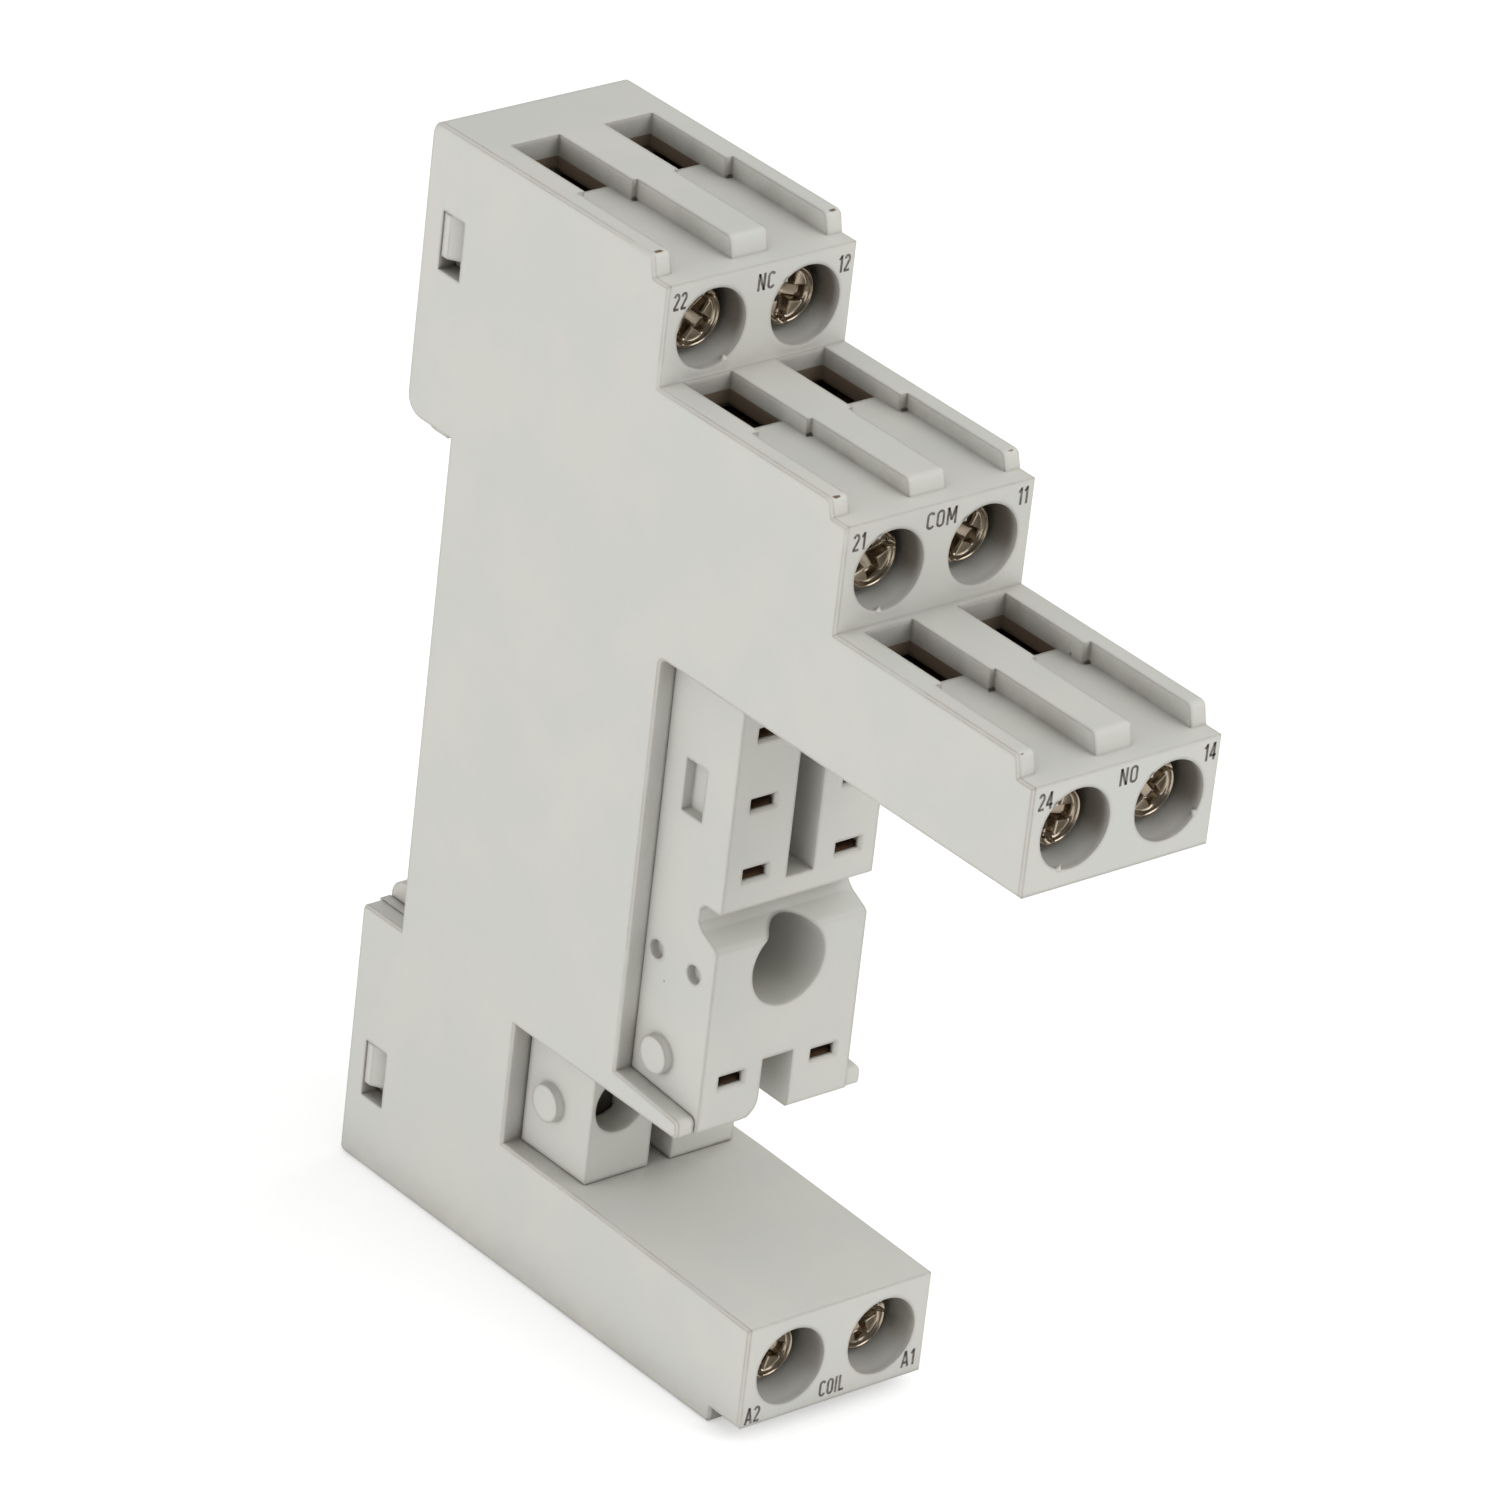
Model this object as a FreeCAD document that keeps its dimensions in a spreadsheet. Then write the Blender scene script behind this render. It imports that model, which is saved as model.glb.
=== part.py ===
import FreeCAD, Part
import math
import os
import re
import Sketcher

# Relay socket for a 35 mm rail: three stepped terminal tiers above the relay bay, a coil tier below it.
# X runs across the body, depth is measured forward from the rear face of the lower block, +Z is up.
# The part stands on its lower face, with the origin under the middle of its outline.

V = FreeCAD.Vector
doc = FreeCAD.newDocument("RelaySocket")
sheet = doc.addObject("Spreadsheet::Sheet", "Params")

SIZES = {
    # Outer moulding
    "width": 15.1,
    "height": 74.7,
    "side_wall": 1.35,
    "hook_back": 0.55,
    "edge_bevel": 0.16,
    "corner_round": 0.45,
    "crown_round": 1.0,
    "hook_round": 1.5,
    # Fronts of the tiers, as depths
    "tier1_front": 23.6,
    "tier2_front": 42.35,
    "tier3_front": 61.5,
    "coil_front": 42.25,
    # Steps of the wall tops, and depths of the wire channels and screw axes below them
    "tier2_drop": 8.3,
    "tier3_drop": 16.75,
    "tier1_sink": 1.4,
    "tier2_sink": 1.15,
    "tier3_sink": 1.45,
    "coil_ceiling": 1.1,
    "tier3_thick": 9.0,
    "coil_top_rear": 8.8,
    "coil_top_front": 8.4,
    "coil_top_break": 24.8,
    "tier1_axis_drop": 5.02,
    "tier2_axis_drop": 4.9,
    "tier3_axis_drop": 5.1,
    "coil_axis": 4.7,
    # Depth of each screw head below its front face
    "tier1_head": 1.8,
    "tier2_head": 2.2,
    "tier3_head": 3.0,
    "coil_head": 2.2,
    # Walls and ribs between the wire channels
    "wall_setback": 1.8,
    "wall_lean": 0.35,
    "coil_setback": 2.85,
    "channel_run": 18.6,
    "entry_run": 13.4,
    "step_run": 11.1,
    "wall_rear": 1.9,
    "rib_rear": 3.6,
    "rib_front": 2.9,
    # Terminal columns and screws
    "column_shift": 0.025,
    "bore_dia": 5.5,
    "head_dia": 4.4,
    "head_long": 2.0,
    "head_round": 0.35,
    "shaft_dia": 3.0,
    "shaft_long": 10.0,
    "recess_wide": 0.85,
    "recess_reach": 1.55,
    "recess_deep": 0.9,
    "head_gap": 0.08,
    "run_fit": 0.06,
    # Clamp cage
    "cage_land": 2.75,
    "cage_tall": 4.6,
    "cage_side": 0.75,
    "cage_front": 1.6,
    "cage_rear": 1.0,
    "cage_lead": 0.3,
    "cage_mouth": 4.0,
    "cage_bevel": 0.35,
    "cage_travel": 2.5,
    "cage_gap": 0.22,
    "cage_end_gap": 0.35,
    # Contact strips and their pin receptacles
    "strip_side": 0.35,
    "strip_thick": 0.8,
    "strip_gap": 0.1,
    "strip_head": 1.9,
    "duct_gap": 0.1,
    "fork_set": 0.46,
    "fork_flare": 0.8,
    "fork_long": 4.6,
    "fork_base": 0.9,
    "fork_half": 0.72,
    "fork_tip_out": 0.66,
    "fork_neck_out": 0.5,
    "fork_tip_in": 0.42,
    "fork_neck_in": 0.2,
    "fork_leaf_in": 0.38,
    "riser_set": 3.6,
    "foot_wall": 2.8,
    "run_under": 0.95,
    # Relay seat
    "seat_wall": 1.37,
    "seat_fit": 0.08,
    "seat_front": 33.46,
    "seat_rear": 16.6,
    "foot_rise": 0.2,
    "foot_front": 23.3,
    "foot_gap": 1.9,
    "foot_gap_long": 4.3,
    "slot_side": 0.275,
    "slot_tall": 0.92,
    "slot_lead": 0.2,
    "row_drop": 2.8,
    "row_pitch": 5.0,
    "coil_row": 21.2,
    "groove_wide": 2.2,
    "groove_run": 11.01,
    "groove_deep": 5.0,
    "notch_wide": 2.5,
    "notch_tall": 4.2,
    "notch_deep": 3.2,
    "leg_round": 1.5,
    "hook_top": 33.6,
    "hook_tall": 2.8,
    "hook_deep": 2.06,
    "hook_slope": 1.61,
    "hook_ease": 0.45,
    "hook_heel": 1.35,
    "hook_knee": 0.9,
    "hook_toe": 0.225,
    "hole_high": 28.65,
    "hole_radius": 2.95,
    "hole_deep": 8.5,
    "probe_rise": 5.5,
    "probe_radius": 2.1,
    "boss_dia": 2.6,
    "boss_rise": 0.6,
    "boss1_set": 4.36,
    "boss1_lift": 3.8,
    "boss2_set": 4.1,
    "boss2_lift": 4.2,
    "pip_dia": 1.3,
    "pip_deep": 0.6,
    "pip1_set": 5.76,
    "pip2_set": 2.0,
    "pip_drop": 5.15,
    "catch_set": 4.9,
    "catch_long": 2.01,
    "catch_drop": 7.25,
    "catch_tall": 3.7,
    "catch_deep": 0.75,
    # Side recess, lower pocket and foot bands of the outer moulding
    "recess_rear": 26.6,
    "pocket_set": 0.2,
    "band_set": 0.26,
    "band_low": 17.6,
    "band_rear_tall": 1.8,
    "band_front_tall": 1.3,
    # Rail notch and rail base
    "notch_low": 18.6,
    "notch_drop": 20.5,
    "notch_floor": 4.1,
    "web_thick": 1.5,
    "base_fit": 0.08,
    "base_drop": 1.5,
    "base_upper_deep": 3.5,
    "base_low": 1.5,
    "base_shoulder": 1.3,
    "lip_drop": 1.1,
    "lip_front": 2.2,
    "lug_rear": 1.35,
    "lug_long": 2.15,
    "lug_flat": 0.7,
    "lug_tall": 4.07,
    "lug_toe": 0.25,
    "lug_gap_low": 0.95,
    "lug_line": 0.07,
    "lug_root": 0.24,
    "lug1_drop": 9.7,
    "lug2_low": 5.07,
    "lug2_shift": 0.4,
    # Rail latch and its spring
    "guide_wall": 0.8,
    "latch_shoulder": 1.0,
    "latch_rear": 1.3,
    "latch_thick": 2.5,
    "latch_low": 2.0,
    "latch_rise": 1.45,
    "latch_travel": 1.8,
    "latch_gap": 0.12,
    "latch_crown": 0.25,
    "window_wide": 3.8,
    "window_low": 4.3,
    "window_tall": 6.7,
    "ledge_tall": 0.8,
    "ledge_gap": 0.15,
    "release_wide": 4.0,
    "release_tall": 1.0,
    "release_low": 2.7,
    "spring_dia": 2.2,
    "spring_wire": 0.35,
    "spring_pitch": 1.5,
    # How far a cutter runs past the face that it cuts
    "cutter_past": 0.2,
}
# Sizes that follow from others, so that the tiers keep to the top and the inner pieces to the walls
FOLLOWING = {
    "tier1_top": "height",
    "tier2_top": "height - tier2_drop",
    "tier3_top": "height - tier3_drop",
    "tier1_floor": "tier1_top - tier1_sink",
    "tier2_floor": "tier2_top - tier2_sink",
    "tier3_floor": "tier3_top - tier3_sink",
    "tier1_axis": "tier1_top - tier1_axis_drop",
    "tier2_axis": "tier2_top - tier2_axis_drop",
    "tier3_axis": "tier3_top - tier3_axis_drop",
    "tier3_under": "tier3_top - tier3_thick",
    "row_top": "tier3_under - row_drop",
    "groove_foot": "row_top - groove_run",
    "catch_low": "row_top - catch_drop",
    "catch_top": "catch_low + catch_tall",
    "catch_rear": "seat_front - catch_set",
    "catch_front": "catch_rear + catch_long",
    "hook_low": "hook_top - hook_tall",
    "pip_high": "hook_top - pip_drop",
    "pip1_depth": "seat_front - pip1_set",
    "pip2_depth": "seat_front - pip2_set",
    "boss1_depth": "seat_front - boss1_set",
    "boss1_high": "seat_under + boss1_lift",
    "boss2_depth": "foot_front - boss2_set",
    "boss2_high": "coil_top_rear + boss2_lift",
    "probe_high": "coil_top_rear + probe_rise",
    "fork_front": "seat_front - fork_set",
    "fork_pinch": "fork_front - fork_flare",
    "fork_root": "fork_front - fork_long",
    "riser_tier3": "fork_front - riser_set",
    "riser_coil": "foot_front - foot_wall",
    "seat_under": "band_low + foot_rise",
    "notch_top": "seat_under + notch_tall",
    "foot_gap_rear": "foot_front - foot_gap_long",
    "pocket_rear": "seat_rear - pocket_set",
    "band_front": "seat_front - band_set",
    "band_top_rear": "band_low + band_rear_tall",
    "band_top_front": "band_low + band_front_tall",
    "notch_high": "height - notch_drop",
    "base_top": "height - base_drop",
    "latch_front": "latch_rear + latch_thick",
    "window_top": "window_low + window_tall",
    "lug1_low": "height - lug1_drop",
    "column": "width / 4 - column_shift",
    "cage_wide": "width / 2 - cage_land",
    "strip_wide": "cage_wide - 2 * cage_side - 2 * strip_side",
    "slot_wide": "strip_wide - 2 * slot_side",
    "seat_wide": "width - 2 * seat_wall - 2 * seat_fit",
    "base_wide": "width - 2 * side_wall - 2 * base_fit",
    "latch_wide": "base_wide - 2 * guide_wall - 2 * latch_gap",
    "latch_stem": "latch_wide - 2 * latch_shoulder",
}
for row, (alias, value) in enumerate(SIZES.items(), 1):
    sheet.set("A%d" % row, alias)
    sheet.set("B%d" % row, str(value))
    sheet.setAlias("B%d" % row, alias)
doc.recompute()

# Height and reach of each terminal tier: names left and right, and whether its wires come from above
TIERS = {
    "tier1": {"names": ("22", "12"), "up": True},
    "tier2": {"names": ("21", "11"), "up": True},
    "tier3": {"names": ("24", "14"), "up": True},
    "coil": {"names": ("a2", "a1"), "up": False},
}
# How far each screw happens to be turned, in degrees
TURNS = {"22": 38, "12": 12, "21": 64, "11": 30, "24": 8, "14": 52, "a2": 20, "a1": 71}

WORD = re.compile(r"[a-z][a-z0-9_]*")


def spell(match):
    """The place in the sheet of a size's name, or the sizes that it follows from."""
    name = match.group(0)
    if name in FOLLOWING:
        return "(%s)" % bind(FOLLOWING[name])
    return "Params." + name if name in SIZES else name


def bind(text):
    """An expression on the sheet, from one that names its sizes bare."""
    return WORD.sub(spell, str(text))


def num(text):
    """The value of such an expression."""
    return float(sheet.evalExpression(bind(text)))


def along(depth):
    """The Y place of a depth measured forward from the rear face."""
    return "(tier3_front - hook_back) / 2 - (%s)" % depth


def side_sketch(body, name, points, middle="0", lift="0"):
    """A closed outline of (depth, height) corners on the side plane, at X = middle and Z = lift."""
    sketch = body.newObject("Sketcher::SketchObject", name)
    plane = [f for f in body.Origin.OriginFeatures if f.Role == "YZ_Plane"][0]
    sketch.AttachmentSupport = [(plane, "")]
    sketch.MapMode = "FlatFace"
    sketch.setExpression("AttachmentOffset.Base.x", bind(along("tier3_front")))
    sketch.setExpression("AttachmentOffset.Base.y", bind(lift))
    sketch.setExpression("AttachmentOffset.Base.z", bind(middle))
    exprs = [("tier3_front - (%s)" % d, h) for d, h in points]
    return close(sketch, exprs)


def close(sketch, exprs):
    """Draw the corners as a closed chain of lines and tie each one to its two expressions."""
    spots = [(num(a), num(b)) for a, b in exprs]
    count = len(spots)
    for i, spot in enumerate(spots):
        after = spots[(i + 1) % count]
        sketch.addGeometry(Part.LineSegment(V(*spot, 0), V(*after, 0)))
    for i in range(count):
        sketch.addConstraint(Sketcher.Constraint("Coincident", i, 2, (i + 1) % count, 1))
    for i, (spot, pair) in enumerate(zip(spots, exprs)):
        for kind, axis, value, text in (("DistanceX", -2, spot[0], pair[0]), ("DistanceY", -1, spot[1], pair[1])):
            if abs(value) < 1e-9:
                sketch.addConstraint(Sketcher.Constraint("PointOnObject", i, 1, axis))
                continue
            held = sketch.addConstraint(Sketcher.Constraint(kind, -1, 1, i, 1, value))
            sketch.setExpression("Constraints[%d]" % held, bind(text))
    return sketch


def pad(body, sketch, length, name):
    """A pad of the sketch, half to each side of its plane."""
    feature = body.newObject("PartDesign::Pad", name)
    feature.Profile = sketch
    feature.SideType = "Symmetric"
    feature.setExpression("Length", bind(length))
    doc.recompute()
    return feature


def edges_along_x(feature, spots):
    """Names of the feature's edges that run along X through the given (depth, height) corners."""
    wanted = [(num(along(d)), num(h)) for d, h in spots]
    found = []
    for i, edge in enumerate(feature.Shape.Edges, 1):
        a, b = edge.Vertexes[0].Point, edge.Vertexes[-1].Point
        if abs(a.y - b.y) + abs(a.z - b.z) < 1e-6 and any(math.hypot(a.y - y, a.z - z) < 1e-4 for y, z in wanted):
            found.append("Edge%d" % i)
    return found


def fillet(body, feature, edges, radius, name):
    """Round the named edges of a feature."""
    rounded = body.newObject("PartDesign::Fillet", name)
    rounded.Base = (feature, edges)
    rounded.setExpression("Radius", bind(radius))
    doc.recompute()
    return rounded


def bevel(body, feature, edges, size, name):
    """Chamfer the named edges of a feature."""
    eased = body.newObject("PartDesign::Chamfer", name)
    eased.Base = (feature, edges)
    eased.setExpression("Size", bind(size))
    doc.recompute()
    return eased


def box(name, x0, x1, d0, d1, low, top):
    """A box between two X places, two depths and two heights."""
    tool = doc.addObject("Part::Box", name)
    tool.setExpression("Length", bind("(%s) - (%s)" % (x1, x0)))
    tool.setExpression("Width", bind("(%s) - (%s)" % (d1, d0)))
    tool.setExpression("Height", bind("(%s) - (%s)" % (top, low)))
    tool.setExpression("Placement.Base.x", bind(x0))
    tool.setExpression("Placement.Base.y", bind(along(d1)))
    tool.setExpression("Placement.Base.z", bind(low))
    return tool


def wedge(name, d_rear, rear, d_front, front):
    """A tapering block between a rear and a front rectangle, each (x0, x1, low, top)."""
    tool = doc.addObject("Part::Wedge", name)
    for label, text in zip(("Xmin", "Xmax", "Zmin", "Zmax", "Ymin"), front + (along(d_front),)):
        tool.setExpression(label, bind(text))
    for label, text in zip(("X2min", "X2max", "Z2min", "Z2max", "Ymax"), rear + (along(d_rear),)):
        tool.setExpression(label, bind(text))
    return tool


def rod(name, radius, x, high, d0, d1):
    """A round bar along the depth, from d1 in front back to d0."""
    tool = doc.addObject("Part::Cylinder", name)
    tool.Placement = FreeCAD.Placement(V(0, 0, 0), FreeCAD.Rotation(V(1, 0, 0), -90))
    tool.setExpression("Radius", bind(radius))
    tool.setExpression("Height", bind("(%s) - (%s)" % (d1, d0)))
    tool.setExpression("Placement.Base.x", bind(x))
    tool.setExpression("Placement.Base.y", bind(along(d1)))
    tool.setExpression("Placement.Base.z", bind(high))
    return tool


def stub(name, radius, depth, high, x0, x1):
    """A round bar across the body, from x0 to x1."""
    tool = doc.addObject("Part::Cylinder", name)
    tool.Placement = FreeCAD.Placement(V(0, 0, 0), FreeCAD.Rotation(V(0, 1, 0), 90))
    tool.setExpression("Radius", bind(radius))
    tool.setExpression("Height", bind("(%s) - (%s)" % (x1, x0)))
    tool.setExpression("Placement.Base.x", bind(x0))
    tool.setExpression("Placement.Base.y", bind(along(depth)))
    tool.setExpression("Placement.Base.z", bind(high))
    return tool


def fuse(name, shapes):
    """One shape of several."""
    joined = doc.addObject("Part::MultiFuse", name)
    joined.Shapes = shapes
    return joined


def cut(name, base, tools):
    """The base less all the tools."""
    result = doc.addObject("Part::Cut", name)
    result.Base = base
    result.Tool = fuse(name + "_tools", tools) if len(tools) > 1 else tools[0]
    result.Refine = True
    return result


def mirrored(low, high, side):
    """An X span on the left or the right of the middle plane."""
    return (low, high) if side > 0 else ("-(%s)" % high, "-(%s)" % low)


def front_of(tier):
    return "%s_front" % tier


def tip_of(tier):
    """Depth of the screw's tip behind the tier's front face."""
    return "(%s_head + head_long + shaft_long)" % tier


# Side outline of the outer moulding, from the lower rear corner forward and round over the tiers
COIL_WALL = "coil_front - coil_setback"
outline = [
    ("0", "0"),
    (COIL_WALL, "0"),
    (COIL_WALL, "coil_ceiling"),
    ("coil_front", "coil_ceiling"),
    ("coil_front", "coil_top_front"),
    ("coil_top_break", "coil_top_rear"),
    ("pocket_rear", "coil_top_rear"),
    ("pocket_rear", "band_low"),
    ("band_front", "band_low"),
    ("band_front", "band_top_front"),
    ("recess_rear", "band_top_rear"),
    ("recess_rear", "tier3_under"),
    ("tier3_front", "tier3_under"),
]
for tier, behind in (("tier3", "tier2_front"), ("tier2", "tier1_front"), ("tier1", "-hook_back")):
    front, floor, top = front_of(tier), tier + "_floor", tier + "_top"
    outline += [(front, floor), ("%s - wall_setback + wall_lean" % front, floor),
                ("%s - wall_setback" % front, top), (behind, top)]
outline += [
    ("-hook_back", "notch_high"),
    ("notch_floor", "notch_high"),
    ("notch_floor", "notch_low"),
    ("0", "notch_low"),
]

shell = doc.addObject("PartDesign::Body", "Shell")
block = pad(shell, side_sketch(shell, "ShellOutline", outline), "width", "ShellBlock")
nose = fillet(shell, block, edges_along_x(block, [("-hook_back", "notch_high")]), "hook_round", "HookRound")
ends = [("%s_front - wall_setback" % tier, "%s_top" % tier) for tier in ("tier1", "tier2", "tier3")]
ends += [(COIL_WALL, "0"), ("0", "0"), ("0", "notch_low"),
         ("band_front", "band_low"), ("band_front", "band_top_front"), ("recess_rear", "tier3_under")]
crown = fillet(shell, nose, edges_along_x(nose, [("-hook_back", "height")]), "crown_round", "CrownRound")
eased = fillet(shell, crown, edges_along_x(crown, ends), "corner_round", "WallEnds")
rims = ["Edge%d" % i for i, e in enumerate(eased.Shape.Edges, 1)
        if all(abs(abs(v.Point.x) - num("width") / 2) < 1e-6 for v in e.Vertexes)
        and abs(e.Vertexes[0].Point.x - e.Vertexes[-1].Point.x) < 1e-6]
bevel(shell, eased, rims, "edge_bevel", "SideEdges")

# Contact paths as (depth, height) centre lines, each from its head in the cage to its fork
STRIP = "(strip_gap + strip_thick / 2)"


def strip_depth(tier):
    return "%s - %s - %s" % (front_of(tier), tip_of(tier), STRIP)


PATHS = {
    "tier1": [(strip_depth("tier1"), "tier1_axis + strip_head"),
              (strip_depth("tier1"), "row_top - 2 * row_pitch"),
              ("fork_root", "row_top - 2 * row_pitch")],
    "tier2": [(strip_depth("tier2"), "tier2_axis + strip_head"),
              (strip_depth("tier2"), "row_top - row_pitch"),
              ("fork_root", "row_top - row_pitch")],
    "tier3": [(strip_depth("tier3"), "tier3_axis + strip_head"),
              (strip_depth("tier3"), "tier3_under + run_under"),
              ("riser_tier3", "tier3_under + run_under"),
              ("riser_tier3", "row_top"),
              ("riser_tier3 + strip_thick", "row_top")],
    "coil": [(strip_depth("coil"), "coil_axis - strip_head"),
             (strip_depth("coil"), "coil_top_rear - run_under"),
             ("riser_coil", "coil_top_rear - run_under"),
             ("riser_coil", "coil_row"),
             ("fork_root", "coil_row")],
}


def ribbon(path, half):
    """The outline of a strip of the given half thickness along square turns."""
    spots = [(num(d), num(h)) for d, h in path]
    ways = []
    for (d0, h0), (d1, h1) in zip(spots, spots[1:]):
        long = math.hypot(d1 - d0, h1 - h0)
        ways.append((round((d1 - d0) / long), round((h1 - h0) / long)))
    left, right = [], []
    for i, (d, h) in enumerate(path):
        near = [ways[i - 1]] if i else []
        near += [ways[i]] if i < len(ways) else []
        shift = (-sum(w[1] for w in near), sum(w[0] for w in near))
        left.append(("%s + (%d) * (%s)" % (d, shift[0], half), "%s + (%d) * (%s)" % (h, shift[1], half)))
        right.append(("%s - (%d) * (%s)" % (d, shift[0], half), "%s - (%d) * (%s)" % (h, shift[1], half)))
    return left + right[::-1]


def fork_outline(root, row):
    """Two leaves on a root: they draw together at the pinch and flare at the mouth."""
    half = [(root, "strip_thick / 2"), (root + " + fork_base / 2", "fork_half"),
            ("fork_pinch", "fork_neck_out"), ("fork_front", "fork_tip_out"), ("fork_front", "fork_tip_in"),
            ("fork_pinch", "fork_neck_in"), (root + " + fork_base", "fork_leaf_in")]
    upper = [(d, "%s + %s" % (row, h)) for d, h in half]
    lower = [(d, "%s - %s" % (row, h)) for d, h in half]
    return upper + lower[::-1]


def duct(name, tier, x):
    """The space that a contact strip takes, with its clearance."""
    body = doc.addObject("PartDesign::Body", name)
    path = list(PATHS[tier])
    sketch = side_sketch(body, name + "_line", ribbon(path, "strip_thick / 2 + duct_gap"), x)
    pad(body, sketch, "strip_wide + 2 * duct_gap", name + "_pad")
    root, row = path[-1]
    left = "(%s) - strip_wide / 2 - duct_gap" % x
    right = "(%s) + strip_wide / 2 + duct_gap" % x
    return [body, box(name + "_fork", left, right, "%s - duct_gap" % root, "fork_front + duct_gap",
                      "%s - fork_half - duct_gap" % row, "%s + fork_half + duct_gap" % row)]


# Openings of the outer moulding
tools = [
    box("SeatPocket", "-seat_wide / 2 - seat_fit", "seat_wide / 2 + seat_fit", "seat_rear - seat_fit",
        "seat_front + foot_gap", "coil_top_rear", "tier3_under"),
    box("BaseUpper", "side_wall - width / 2", "width / 2 - side_wall", "-hook_back - corner_round",
        "base_upper_deep + base_fit", "notch_high - hook_round", "base_top + base_fit"),
    box("BaseLower", "side_wall - width / 2", "width / 2 - side_wall", "-corner_round",
        "notch_floor + web_thick + base_fit", "base_low - base_fit", "notch_high + base_shoulder + base_fit"),
    box("LatchExit", "-latch_wide / 2 - latch_gap", "latch_wide / 2 + latch_gap", "-corner_round",
        "latch_front + latch_gap", "-corner_round", "base_low"),
]
ducts = {}
for tier, data in TIERS.items():
    front, axis, tip = front_of(tier), "%s_axis" % tier, tip_of(tier)
    top = "%s_top" % tier if data["up"] else "0"
    floor = "%s_floor" % tier if data["up"] else "coil_ceiling"
    for side, name in zip((-1, 1), data["names"]):
        x = "column" if side > 0 else "-column"
        rear_x = mirrored("rib_rear / 2", "width / 2 - wall_rear", side)
        front_x = mirrored("rib_front / 2", "width / 2 - side_wall", side)
        span = (floor, top + " + corner_round") if data["up"] else ("-corner_round", floor)
        drop = (axis, floor) if data["up"] else (floor, axis)
        tools += [
            box("Channel_" + name, *rear_x, front + " - channel_run", front + " - step_run", *span),
            box("Trough_" + name, *front_x, front + " - step_run", front, *span),
            box("Entry_" + name, *rear_x, front + " - channel_run", front + " - entry_run", *drop),
            rod("Bore_" + name, "bore_dia / 2", x, axis,
                "%s - %s_head - head_long - head_gap" % (front, tier), front + " + corner_round"),
            rod("Neck_" + name, "shaft_dia / 2 + run_fit", x, axis, "%s - %s" % (front, tip),
                "%s - %s_head" % (front, tier)),
            box("Chamber_" + name, "%s - cage_wide / 2 - cage_gap" % x, "%s + cage_wide / 2 + cage_gap" % x,
                "%s - %s - cage_mouth - cage_rear + cage_lead - cage_end_gap" % (front, tip),
                "%s - %s + cage_lead + cage_front + cage_travel + cage_end_gap" % (front, tip),
                "%s - cage_tall / 2 - cage_end_gap" % axis, "%s + cage_tall / 2 + cage_end_gap" % axis),
        ]
        ducts[name] = duct("Duct_" + name, tier, x)
        tools += ducts[name]


def lug_spans():
    """Rear depth and lower height of the snap lugs on the upper and the lower block."""
    return (("lug_rear", "lug1_low"), ("lug_rear + lug2_shift", "lug2_low"))


for side in (-1, 1):
    for i, (rear, low) in enumerate(lug_spans()):
        span = mirrored("width / 2 - side_wall - base_fit", "width / 2 + corner_round", side)
        tools.append(box("Window_%d_%d" % (i, side + 1), *span, rear, rear + " + lug_long", low,
                         low + " + lug_tall"))
housing = cut("Housing", shell, tools)

# Inner moulding: the relay seat with its two feet, held between the side walls
seat_top = "tier3_under - seat_fit"
seat_foot = "coil_top_rear + seat_fit"
seat = doc.addObject("PartDesign::Body", "SeatBlock")
seat_line = [
    ("seat_front", seat_top),
    ("seat_front", "hook_top"),
    ("seat_front - hook_slope", "hook_top"),
    ("seat_front - hook_deep", "hook_top - hook_ease"),
    ("seat_front - hook_deep", "hook_low + hook_heel"),
    ("seat_front - hook_slope", "hook_low + hook_knee"),
    ("seat_front - hook_toe", "hook_low + hook_toe"),
    ("seat_front", "hook_low"),
    ("seat_front", "seat_under"),
    ("foot_front", "seat_under"),
    ("foot_front", seat_foot),
    ("seat_rear", seat_foot),
    ("seat_rear", seat_top),
]
seat_block = pad(seat, side_sketch(seat, "SeatOutline", seat_line), "seat_wide", "SeatPad")
bevel(seat, seat_block, edges_along_x(seat_block, [
    ("seat_front", "hook_top"), ("seat_front", "seat_under"), ("foot_front", "seat_under")]), "edge_bevel",
    "SeatEdges")
seat_tools = [
    box("Groove", "-groove_wide / 2", "groove_wide / 2", "seat_front - groove_deep",
        "seat_front + corner_round", "groove_foot", "tier3_under"),
    box("Notch", "-notch_wide / 2", "notch_wide / 2", "seat_front - notch_deep",
        "seat_front + corner_round", "seat_under - corner_round", "notch_top"),
    box("FootGap", "-foot_gap / 2", "foot_gap / 2", "foot_gap_rear", "foot_front + corner_round",
        "coil_top_rear - corner_round", "seat_under"),
    rod("ClipHole", "hole_radius", "0", "hole_high", "seat_front - hole_deep", "seat_front + corner_round"),
]
ROWS = {"tier3": "row_top", "tier2": "row_top - row_pitch", "tier1": "row_top - 2 * row_pitch",
        "coil": "coil_row"}
for tier, data in TIERS.items():
    row = ROWS[tier]
    for side, name in zip((-1, 1), data["names"]):
        x = "column" if side > 0 else "-column"
        left, right = x + " - slot_wide / 2", x + " + slot_wide / 2"
        low, top = row + " - slot_tall / 2", row + " + slot_tall / 2"
        seat_tools += ducts[name]
        seat_tools.append(box("Slot_" + name, left, right, "fork_front", "seat_front + corner_round", low, top))
        seat_tools.append(wedge(
            "Lead_" + name, "seat_front - slot_lead", (left, right, low, top), "seat_front + cutter_past",
            (left, right + " + slot_lead + cutter_past", low + " - slot_lead - cutter_past", top)))
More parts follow.
